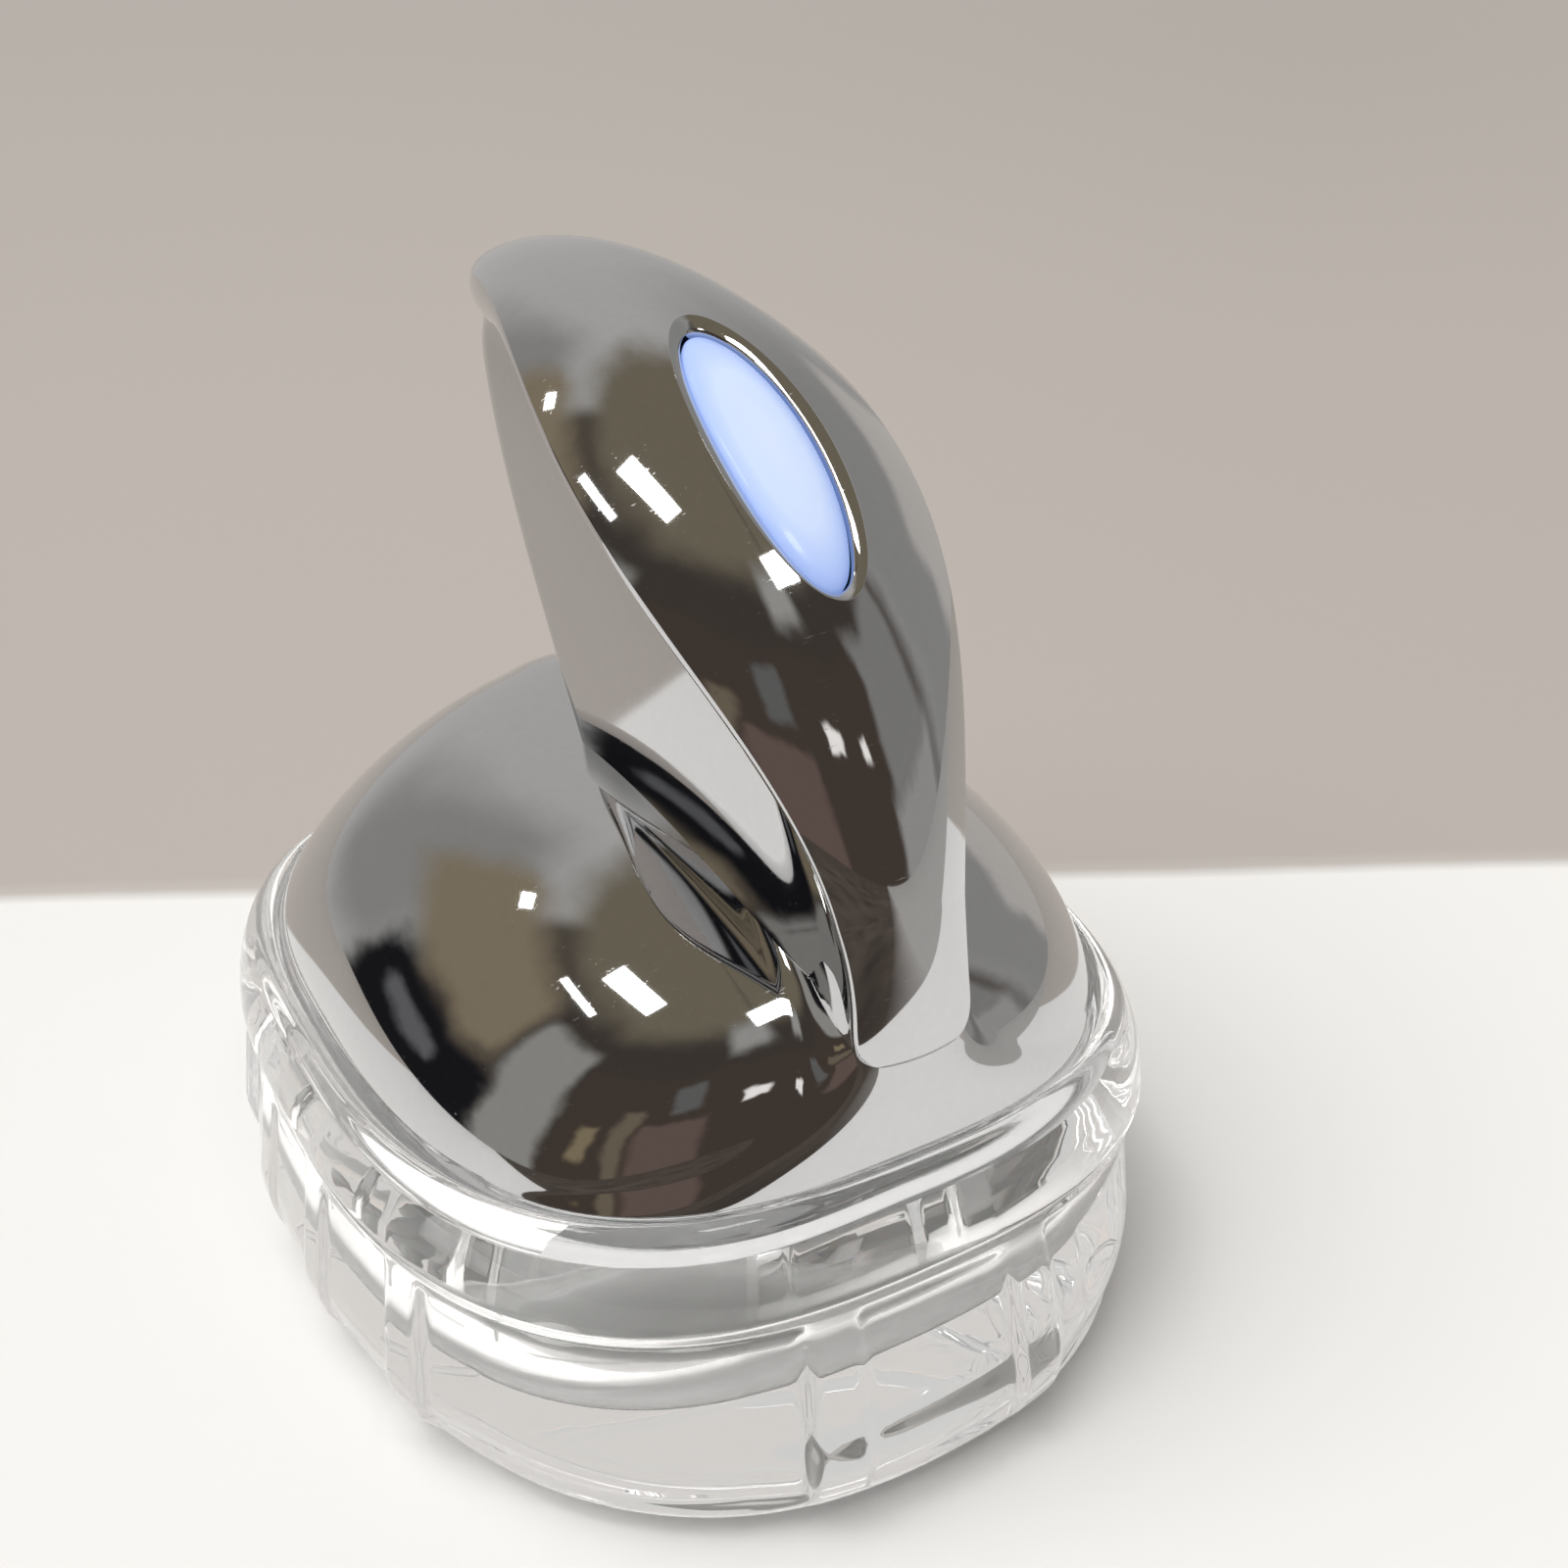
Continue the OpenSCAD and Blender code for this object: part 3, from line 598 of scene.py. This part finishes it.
def neck_mesh(first, last, root, inset, rise, half, levels):
    """Closed mesh of the neck: loops along its two flanks, from its root to under the cover."""
    rings = []
    turn = np.linspace(0, np.pi, half + 1)
    for share in np.linspace(0, 1, levels) ** 0.8:
        def level(v):
            vv = np.clip(v, 0.0, 1.0)
            return root + share * (spine_r(vv) - 1.1 - 0.9 * crown_h(vv) + rise - root)

        lo, hi = 0.5, 1.2
        for _ in range(50):
            mid = (lo + hi) / 2
            lo, hi = (mid, hi) if neck_half(mid, level(mid), inset)[1] < 1 else (lo, mid)
        v = first + (min(last, lo) - first) * (0.5 - 0.5 * np.cos(turn))
        r = level(v)
        w, close = neck_half(v, r, inset)
        x = w * np.sqrt(np.maximum(0.0, 1 - close))
        x[[0, -1]] = 0.0
        a = np.radians(SPINE_START - SPINE_SWEEP * v)
        side = np.stack([x, r * np.cos(a), POLE + r * np.sin(a)], 1)
        rings.append(np.concatenate([side, (side * [-1, 1, 1])[-2:0:-1]]))
    verts, faces = loft(rings, caps=False)
    n, top = 2 * half, (levels - 1) * 2 * half
    for i in range(half):
        strip = list(dict.fromkeys([i, i + 1, n - i - 1, (n - i) % n]))
        faces += [tuple(top + k for k in strip), tuple(strip[::-1])]
    return verts, faces


def socket_cut():
    """Opening at the back for the charging socket."""
    a = around(64)
    x = SOCKET_R * np.cos(a) + SOCKET_HALF * np.sign(np.cos(a))
    z = SOCKET_Z + SOCKET_R * np.sin(a)
    return loft([np.stack([x, np.full_like(x, y), z], 1) for y in (56.0, 42.0)])


ANGLES = around(600)
body = make("chrome_body", *dome_outer(ANGLES, 110), "device", CHROME, "chrome")
join(body, [("UNION", neck_mesh(0.006, 1.2, ROOT_R, 0.0, 0.0, 200, 104)),
            ("DIFFERENCE", dome_hollow(ANGLES[::4], 40)),
            ("DIFFERENCE", neck_mesh(0.121, 0.96, ROOT_R - 2, 2.2, 2.6, 50, 24)),
            ("DIFFERENCE", socket_cut())])
exact_normals(body, [dome_field, neck_field])
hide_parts("body_shell")


# ---- ribbon cover -------------------------------------------------------------------------------

def spine_point(v, x, r):
    a = spine_angle(v)
    return np.stack([x + 0 * r, r * np.cos(a) + 0 * x, POLE + r * np.sin(a) + 0 * x], -1)


def foot_drop(v):
    return 0.5 * COVER_T * (1 - end_round(v))


def cover_section(v, crown=49, arc=13, inner=15):
    """Closed outline across the ribbon at v: crown, half-round edge, underside, half-round edge."""
    w, h = float(ribbon_w(v)), float(crown_h(v))
    t = min(COVER_T + NOSE_T * float(step(v, 0.7, 0.92)), 1.5 * w) * float(end_round(v))
    rad = t / 2
    x0 = w - rad
    for _ in range(8):
        slope = 2 * h * x0 / (w * w)
        x0 = w - rad + rad * slope / math.hypot(1, slope)
        x0 = max(x0, 0.1 * w)

    def at(x):
        slope = 2 * h * x / (w * w)
        n = np.array([slope, 1.0]) / math.hypot(1, slope)
        return np.array([x, -h * x * x / (w * w)]), n

    points = [at(x)[0] for x in np.linspace(-x0, x0, crown)]
    p, n = at(x0)
    c = p - rad * n
    side = np.array([n[1], -n[0]])
    turns = np.linspace(0, math.pi, arc)[1:-1]
    right = [c + rad * (math.cos(a) * n + math.sin(a) * side) for a in turns]
    points += right
    for x in np.linspace(x0, -x0, inner):
        q, m = at(x)
        points.append(q - t * m)
    points += [np.array([-q[0], q[1]]) for q in right[::-1]]
    points = np.array(points)
    return spine_point(v, points[:, 0], float(spine_r(v) - foot_drop(v)) + points[:, 1])


def cover_field(x, y, z):
    """Height above the ribbon's crown."""
    r, turned = about_pole(y, z)
    v = np.clip(turned / SPINE_SWEEP, 0.0, 1.0)
    for _ in range(8):
        v = np.clip((turned - nose_turn(v)) / SPINE_SWEEP, 0.0, 1.0)
    w, h = ribbon_w(v), crown_h(v)
    return r - spine_r(v) + foot_drop(v) + h * x * x / (w * w)


sections = loft([cover_section(v) for v in ease(161)])
cover = make("ribbon_cover", *flipped(*sections), "device", CHROME, "chrome")

# the button's own plane
CENTRE = spine_point(BUTTON_V, np.float64(0), spine_r(BUTTON_V))
AXIS_X = np.array([1.0, 0, 0])
AXIS_Y = np.array([0.0, math.cos(BUTTON_TILT), math.sin(BUTTON_TILT)])
AXIS_N = np.array([0.0, -math.sin(BUTTON_TILT), math.cos(BUTTON_TILT)])


def oval(grow, count=160):
    """Points across (x) and along (y) the button's oval, grown by grow, more at its upper end."""
    a = around(count)
    more = 1 + 0.5 * np.maximum(0, np.sin(a)) ** 2
    return (LENS_W + grow) * np.cos(a), (LENS_L + grow * more) * np.sin(a)


def on_crown(x, y, drop):
    """Point of the crown, lowered by drop, that lies at x, y in the button's own plane."""
    v = BUTTON_V + y / V_LENGTH
    for _ in range(12):
        p = spine_point(v, x, spine_r(v) - drop - crown_h(v) * (x / ribbon_w(v)) ** 2)
        v = v + (y - (p - CENTRE) @ AXIS_Y) / V_LENGTH
    return p


x, y = oval(RING_W)
base = CENTRE + x[:, None] * AXIS_X + y[:, None] * AXIS_Y
join(cover, [("DIFFERENCE", loft([base - 12 * AXIS_N, base + 8 * AXIS_N]))])
exact_normals(cover, [cover_field], 30.0)
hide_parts("handle_cover")


# ---- ring and lens of the button ----------------------------------------------------------------

# section of the ring: how far out from the lens, and how far below the crown
RING = [(1.8, 0.0), (1.7, 0.02), (1.1, 0.42), (0.6, 0.8), (0.36, 1.0), (0.3, 1.12), (0.3, 3.0),
        (1.75, 3.0), (1.8, 2.9)]
rings = [on_crown(*oval(grow), drop) for grow, drop in RING]
ring = make("button_ring", *loft(rings, closed=True), "device", CHROME, "chrome")
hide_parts("button_bezel")

# section of the lens: share of its size, and how far below the crown
LENS_PROFILE = [(0.0, 0.72), (0.3, 0.73), (0.55, 0.76), (0.75, 0.82), (0.88, 0.92), (0.95, 1.08),
                (0.985, 1.3), (1.0, 1.6), (1.0, 4.5), (0.9, 4.8)]
LENS_N = 128        # points round the lens
LENS_HUB = 0.004    # smallest share, so that the middle ring stays open
rings, tone = [], []
for share, drop in LENS_PROFILE:
    a = around(LENS_N)
    k = max(share, LENS_HUB)
    rings.append(on_crown(LENS_W * k * np.cos(a), LENS_L * k * np.sin(a), drop))
    tone += [share] * LENS_N
lens = make("lit_lens", *flipped(*loft(rings)), "button", LENS, "lens")
lens.data.attributes.new("edge", "FLOAT", "POINT").data.foreach_set("value", tone)
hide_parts("power_button")


# ---- clear stand --------------------------------------------------------------------------------

BARS = np.radians([10, 31, 78, 102, 149, 170, 190, 211, 258, 282, 329, 350])
BAR_HALF, BAR_SOFT = math.radians(2.2), math.radians(1.6)   # half of a bar, and the slope beside it
PANEL_SINK, PANEL_FLAT, PANEL_GROW = 0.6, 0.22, 6.0         # depth of a panel, and how flat it is
BOWL_TOP, BOWL_ROUND = 38.0, 13.9                           # where the swell starts, radius underneath
BOWL_GROW, BOWL_SWELL, BOWL_DEPTH, BOWL_N = 3.97, 5.49, 6.85, 0.48  # at the top, and gained below
# outer face: height, and how far it stands out from the bowl's own curve
STAND_OUT = [(0.0, 0.0), (0.12, 0.0), (0.4, 0.0), (1.0, 0.0), (2.0, 0.0), (3.5, 0.0), (5.5, 0.0),
             (8.0, 0.0), (11.0, 0.0), (14.0, 0.0), (20.0, 0.0), (25.0, 0.0), (28.2, 0.0),
             (29.0, -0.4), (29.4, -0.35), (29.8, 0.3), (30.3, 0.75), (33.0, 0.8), (35.0, 0.6),
             (37.0, 0.1), (38.6, -0.6), (39.5, -1.2), (39.9, -1.7), (40.0, -2.0)]
# inner face: height, and how far it stands out from the chrome base's oval
STAND_IN = [(39.95, 1.2), (39.6, 0.6), (38.9, 0.3), (34.2, 0.3), (33.7, 0.2), (33.7, -4.6),
            (33.3, -5.0), (26.0, -5.1), (19.0, -5.2), (14.0, -5.7), (11.0, -6.5), (8.6, -8.0),
            (7.0, -10.5), (6.2, -13.0), (6.0, -16.0)]


def base_radius(grow, angles, more=0.0, n=OVAL_N):
    """Radius of the base's oval, grown all round, and more in depth."""
    a, b = HALF_W + grow, HALF_D + grow + more
    return (np.abs(np.cos(angles) / a) ** n + np.abs(np.sin(angles) / b) ** n) ** (-1 / n)


def bowl_radius(h, out, angles):
    """Outer face of the bowl at the height h.

    It swells downwards, more in depth than in width, then rounds under.
    """
    down = 1 - h / BOWL_TOP
    under = 1 - np.clip(h / BOWL_ROUND, 0.0, 1.0)
    out = out - BOWL_ROUND * (1 - np.sqrt(1 - under * under))
    return base_radius(BOWL_GROW + BOWL_SWELL * down + out, angles, BOWL_DEPTH * down,
                       OVAL_N - BOWL_N * max(down, 0.0))


def panel_depth(angles):
    """How far each flat panel lies inside the round bowl, 0 on the bars between the panels."""
    ends = np.concatenate([BARS, [BARS[0] + 2 * np.pi]])
    a = np.where(angles < BARS[0], angles + 2 * np.pi, angles)
    i = np.clip(np.searchsorted(ends, a, side="right") - 1, 0, len(BARS) - 1)
    lo, hi = ends[i], ends[i + 1]
    half, off = (hi - lo) / 2, a - (lo + hi) / 2
    near_end = np.minimum(base_radius(PANEL_GROW, lo), base_radius(PANEL_GROW, hi))
    chord = near_end * np.cos(half) / np.cos(off)
    sink = PANEL_SINK + PANEL_FLAT * np.clip(base_radius(PANEL_GROW, a) - chord, 0.0, 6.0)
    return step(half - np.abs(off), BAR_HALF, BAR_HALF + BAR_SOFT) * sink


def smooth_curve(t, f, at):
    """Monotone cubic through the points (t, f)."""
    d = np.diff(f) / np.diff(t)
    d0, d1 = d[:-1], d[1:]
    inner = np.where(d0 * d1 > 0, 2 * d0 * d1 / (d0 + d1 + 1e-12), 0)
    m = np.concatenate([[d[0]], inner, [d[-1]]])
    i = np.clip(np.searchsorted(t, at, side="right") - 1, 0, len(d) - 1)
    h = t[i + 1] - t[i]
    u = (at - t[i]) / h
    return ((1 + 2 * u) * (1 - u) ** 2 * f[i] + u * (1 - u) ** 2 * h * m[i]
            + u * u * (3 - 2 * u) * f[i + 1] + u * u * (u - 1) * h * m[i + 1])


def fine_profile(profile):
    """The same profile with three times the points, rounded through them."""
    z, g = np.array(profile).T
    t = np.concatenate([[0], np.cumsum(np.hypot(np.diff(z), np.diff(g)))])
    fine = np.unique(np.concatenate([t] + [t[:-1] + k / 3 * np.diff(t) for k in (1, 2)]))
    return zip(smooth_curve(t, z, fine), smooth_curve(t, g, fine))


def stand_mesh():
    angles = around(720)
    depth = panel_depth(angles)
    rings = []
    for h, out in fine_profile(STAND_OUT):
        panels = depth * step(h, 3.0, 7.0) * (1 - step(h, 26.4, 28.0))
        rings.append(level_ring(bowl_radius(h, out, angles) - panels, angles, h))
    for h, out in fine_profile(STAND_IN):
        rings.append(level_ring(base_radius(out, angles), angles, h))
    return loft(rings)


stand = make("clear_stand_form", *stand_mesh(), "stand", GLASS, "clear")
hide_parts("clear_stand")


# ---- kneading heads -----------------------------------------------------------------------------

HEAD_X, HEAD_Y = 20, 23.027                         # the four axes, left and right, front and back
HEADS = [(-1, -1), (1, -1), (1, 1), (-1, 1)]
HEAD_BOX = (-15.2, -15.2, 12.4), (15.2, 15.2, 28.8)
HEAD_CELL = 0.55
FINGERS, FINGER_R, FINGER_Z = 5, 10.5, 23.5         # number, and where their roots are
FINGER_LENGTH, FINGER_LEAN = 8, math.radians(8)
FINGER_ROOT, FINGER_TIP = 3.3, 2.3                  # radii
BORE_R, BORE_Z = 2.5, 24.0                          # for the shaft, from this height up


def round_cone(p, a, b, ra, rb):
    """Distance from a rounded cone between the points a and b."""
    ba = b - a
    l2 = ba @ ba
    rr = ra - rb
    a2 = l2 - rr * rr
    pa = p - a
    y = pa @ ba
    z = y - l2
    x2 = ((pa * l2 - y[:, None] * ba) ** 2).sum(1)
    y2, z2 = y * y * l2, z * z * l2
    k = np.sign(rr) * rr * rr * x2
    out = (np.sqrt(x2 * a2 / l2) + y * rr) / l2 - ra
    out = np.where(np.sign(y) * a2 * y2 < k, np.sqrt(x2 + y2) / l2 - ra, out)
    return np.where(np.sign(z) * a2 * z2 > k, np.sqrt(x2 + z2) / l2 - rb, out)


def round_disc(p, r, z0, z1, edge):
    q = np.stack([np.hypot(p[:, 0], p[:, 1]) - r + edge,
                  np.abs(p[:, 2] - (z0 + z1) / 2) - (z1 - z0) / 2 + edge], 1)
    return np.minimum(q.max(1), 0) + np.linalg.norm(np.maximum(q, 0), axis=1) - edge


def head_field(p):
    """Disc with a hub, fingers below it and a bore for the shaft."""
    disc, hub = round_disc(p, 14.0, 23.0, 25.7, 1.2), round_disc(p, 6.0, 23.0, 28.0, 0.5)
    out = blend_min(disc, hub, 1.2)
    for k in range(FINGERS):
        t = 2 * math.pi * k / FINGERS
        along = np.array([math.cos(t), math.sin(t), 0])
        root = FINGER_R * along + np.array([0, 0, FINGER_Z])
        lean = math.sin(FINGER_LEAN) * along - np.array([0, 0, math.cos(FINGER_LEAN)])
        tip = root + FINGER_LENGTH * lean
        out = blend_min(out, round_cone(p, root, tip, FINGER_ROOT, FINGER_TIP), 1.6)
    bore = np.maximum(np.hypot(p[:, 0], p[:, 1]) - BORE_R, BORE_Z - p[:, 2])
    return np.maximum(out, -bore)


head_v, head_q = surface(head_field, *HEAD_BOX, HEAD_CELL)
for i, (sx, sy) in enumerate(HEADS):
    turn = math.radians(90 * i)
    c, s = math.cos(turn), math.sin(turn)
    placed = np.stack([c * head_v[:, 0] - s * head_v[:, 1] + HEAD_X * sx,
                       s * head_v[:, 0] + c * head_v[:, 1] + HEAD_Y * sy, head_v[:, 2]], 1)
    head = make("soft_head_%d" % (i + 1), placed, head_q, "head_%d" % (i + 1), SILICONE, "silicone")
    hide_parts("kneading_head_%d" % (i + 1))


# ---- floor and card, in metres ------------------------------------------------------------------

FLOOR_Z, CARD_Z = -0.0002, 0.001
WIDE = 5.0
CARD_EDGE = -0.185              # the card starts this far in front
BEYOND = (0.45335, 0.89133, 0)  # away from the camera, square to the line where the floor darkens
LINE_START, LINE_END = 0.0755, 0.0785


def stage_plane(name, x0, y0, x1, y1, z, mat):
    mesh = bpy.data.meshes.new(name)
    mesh.from_pydata([(x0, y0, z), (x1, y0, z), (x1, y1, z), (x0, y1, z)], [], [(0, 1, 2, 3)])
    mesh.materials.append(mat)
    obj = new_object(name, mesh)
    return obj


# pale, up to a line behind the object that wavers a little, and beige beyond it
FLOOR = bpy.data.materials.new("pale_floor")
FLOOR.use_nodes = True
nt = FLOOR.node_tree
bsdf = nt.nodes["Principled BSDF"]
bsdf.inputs["Roughness"].default_value = 0.5
pos = nt.nodes.new("ShaderNodeTexCoord")
away = nt.nodes.new("ShaderNodeVectorMath")
away.operation = "DOT_PRODUCT"
away.inputs[1].default_value = BEYOND
nt.links.new(pos.outputs["Object"], away.inputs[0])
grain = noise_node(nt, pos.outputs["Object"], 14.0, 6.0)
line = math_node(nt, "ADD", away.outputs["Value"],
                 range_node(nt, grain, 0.35, 0.65, -0.0006, 0.0006))
tone = ramp_node(nt, line, [(LINE_START, (0.88, 0.875, 0.865)), (LINE_END, (0.48, 0.44, 0.41))])
nt.links.new(tone, bsdf.inputs["Base Color"])
stage_plane("floor", -WIDE, -WIDE, WIDE, WIDE, FLOOR_Z, FLOOR)

# a dark card on the floor in front, paler towards +X, which only reflections show
CARD = material("dark_card", (0.075, 0.06, 0.05), 0.9, scale=6, spots=0.5, bump=0.0)
nt = CARD.node_tree
bsdf = nt.nodes["Principled BSDF"]
place = nt.nodes.new("ShaderNodeSeparateXYZ")
nt.links.new(nt.nodes["Texture Coordinate"].outputs["Object"], place.inputs["Vector"])
paler = range_node(nt, place.outputs["X"], 0.0, 0.1, 0, 1)
tone = bsdf.inputs["Base Color"]
nt.links.new(mix_node(nt, paler, tone.links[0].from_socket, (0.42, 0.41, 0.4, 1)), tone)
# what is seen through the clear stand doesn't meet the card
path = nt.nodes.new("ShaderNodeLightPath")
clear = nt.nodes.new("ShaderNodeBsdfTransparent")
surface_mix(nt, path.outputs["Transmission Depth"], bsdf.outputs["BSDF"], clear.outputs["BSDF"])
card = stage_plane("dark_card", -WIDE, -WIDE, WIDE, CARD_EDGE, CARD_Z, CARD)
card.visible_camera = card.visible_diffuse = False
card.visible_shadow = card.visible_transmission = False


# ---- room ---------------------------------------------------------------------------------------

DEG = 180 / math.pi
WAVER = 14.0        # degrees that the edges of the patches waver by

world = bpy.data.worlds.new("studio")
world.use_nodes = True
bpy.context.scene.world = world
nt = world.node_tree
pos = nt.nodes.new("ShaderNodeTexCoord")
axes = nt.nodes.new("ShaderNodeSeparateXYZ")
nt.links.new(pos.outputs["Generated"], axes.inputs["Vector"])
wobble = noise_node(nt, pos.outputs["Generated"], 3.0, 4.0)
waver = math_node(nt, "MULTIPLY", math_node(nt, "SUBTRACT", wobble, 0.5), WAVER)


def wavering_degrees(op, *values):
    angle = math_node(nt, "MULTIPLY", math_node(nt, op, *values), DEG)
    return math_node(nt, "ADD", angle, waver)


def opposite(value):
    return math_node(nt, "MULTIPLY", value, -1.0)


def between(value, lo, hi, soft):
    """Two masks with soft edges: one that rises at lo and one that falls at hi."""
    start = range_node(nt, value, lo - soft, lo + soft, 0, 1, "SMOOTHSTEP")
    return start, range_node(nt, value, hi - soft, hi + soft, 1, 0, "SMOOTHSTEP")


lat = wavering_degrees("ARCSINE", axes.outputs["Z"])
# bearing 0 is +Y, 90 is +X; the second one starts at -Y, for what lies across the first one's seam
lon = wavering_degrees("ARCTAN2", axes.outputs["X"], axes.outputs["Y"])
front = wavering_degrees("ARCTAN2", opposite(axes.outputs["X"]), opposite(axes.outputs["Y"]))

ROOM = [
    # bearing, from, to, height from, to, soft edge, colour
    (lon, -38, 110, -95, 66, 5, (0.5, 0.49, 0.475)),
    (lon, -40, -6, 4, 52, 9, (0.3, 0.293, 0.282)),
    (lon, 40, 118, -95, 62, 22, (0.3, 0.295, 0.285)),
    (lon, 50, 80, -9, 15, 3, (0.52, 0.49, 0.46)),
    (lon, -181, 181, 60, 95, 6, (0.19, 0.163, 0.118)),
    (lon, -78, -22, 27, 54, 5, (0.27, 0.22, 0.15)),
    (lon, -106, -82, -30, 50, 3, (0.33, 0.32, 0.295)),
    (lon, -82, -38, -9, 23, 3, (0.012, 0.012, 0.014)),
    (lon, -64, -46, 9, 16, 2, (0.14, 0.14, 0.145)),
    (front, -70, 72, -30, 44, 6, (0.07, 0.053, 0.043)),
    (front, 23, 44, -6, 22, 2, (0.15, 0.105, 0.09)),
    (front, 46, 52, -4, 30, 1.5, (0.18, 0.145, 0.105)),
    (front, 57, 63, 4, 20, 1.5, (0.26, 0.21, 0.13)),
    (front, 25, 37, 27, 40, 1.5, (0.14, 0.14, 0.135)),
    (front, 3, 12, 24, 30, 1, (1.1, 1.05, 1.0)),
    (front, -13, -8, 25, 29, 1, (1.1, 1.05, 1.0)),
    (front, -66, -28, 14, 44, 3, (0.25, 0.245, 0.235)),
    (front, -68, -22, -30, 14, 4, (0.36, 0.35, 0.34)),
    (front, -4, 16, 50, 62, 4, (0.38, 0.37, 0.35)),
]
color = (0.06, 0.05, 0.042, 1)
for bearing, a, b, low, high, soft, tone in ROOM:
    mask = math_node(nt, "MULTIPLY", *between(bearing, a, b, soft))
    for edge in between(lat, low, high, soft):
        mask = math_node(nt, "MULTIPLY", mask, edge)
    color = mix_node(nt, mask, color, (*tone, 1))
# seen straight, or through the clear stand, the room is plain
path = nt.nodes.new("ShaderNodeLightPath")
through = math_node(nt, "MINIMUM", path.outputs["Transmission Depth"], 1.0)
straight = math_node(nt, "MAXIMUM", path.outputs["Is Camera Ray"], through)
color = mix_node(nt, straight, color, (0.64, 0.615, 0.59, 1))
nt.links.new(color, nt.nodes["Background"].inputs["Color"])
nt.nodes["Background"].inputs["Strength"].default_value = 1.0


# ---- lamps and camera ---------------------------------------------------------------------------

AIM = Vector((0, 0, 0.06))      # what the lamps face
LAMP_REACH = 1.5


def area(name, bearing, height, width, depth, power):
    """Rectangular lamp at a bearing and height as seen from the object, facing it."""
    b, h = math.radians(bearing), math.radians(height)
    ray = Vector((math.sin(b) * math.cos(h), math.cos(b) * math.cos(h), math.sin(h)))
    at = ray * LAMP_REACH + AIM
    data = bpy.data.lights.new(name, "AREA")
    data.shape = "RECTANGLE"
    data.energy, data.size, data.size_y, data.color = power, width, depth, (1, 0.985, 0.96)
    obj = new_object(name, data)
    obj.location = at
    obj.rotation_mode = "QUATERNION"
    obj.rotation_quaternion = (at - AIM).to_track_quat("Z", "Y")


sun = bpy.data.lights.new("soft_daylight", "SUN")
sun.energy, sun.angle = 2.7, math.radians(60)
daylight = new_object("soft_daylight", sun)
daylight.rotation_mode = "QUATERNION"
daylight.rotation_quaternion = Vector((-0.45, 0.02, 0.89)).to_track_quat("Z", "Y")
daylight.visible_glossy = False
area("lamp_1", -93, 69, 0.42, 0.16, 1.2)
area("lamp_2", -79, 57.5, 0.34, 0.05, 0.35)
area("lamp_3", -33, 50.5, 0.09, 0.07, 0.15)
area("lamp_4", 172, 63, 0.3, 0.18, 1.2)

# camera fitted to the photo
AZ, EL, ROLL = math.radians(-31.456), math.radians(27.827), math.radians(1.0)
CAMERA_AT = (-0.086790, -0.169169, 0.161114)
SENSOR, FOCAL_PX, PHOTO_PX = 36.0, 1730.0, 1600.0
ahead = Vector((-math.sin(AZ) * math.cos(EL), math.cos(AZ) * math.cos(EL), -math.sin(EL)))
right0 = Vector((math.cos(AZ), math.sin(AZ), 0))
up0 = right0.cross(ahead)
right = math.cos(ROLL) * right0 + math.sin(ROLL) * up0
up = -math.sin(ROLL) * right0 + math.cos(ROLL) * up0
cam_data = bpy.data.cameras.new("camera")
cam_data.sensor_width = SENSOR
cam_data.lens = SENSOR * FOCAL_PX / PHOTO_PX
cam_data.clip_start = 0.01
cam = new_object("camera", cam_data)
cam.matrix_world = Matrix((
    (right.x, up.x, -ahead.x, CAMERA_AT[0]),
    (right.y, up.y, -ahead.y, CAMERA_AT[1]),
    (right.z, up.z, -ahead.z, CAMERA_AT[2]),
    (0, 0, 0, 1)))
bpy.context.scene.camera = cam
cycles = bpy.context.scene.cycles
cycles.max_bounces = cycles.transmission_bounces = cycles.transparent_max_bounces = 24
cycles.glossy_bounces = 12
bpy.context.scene.view_settings.view_transform = "Standard"
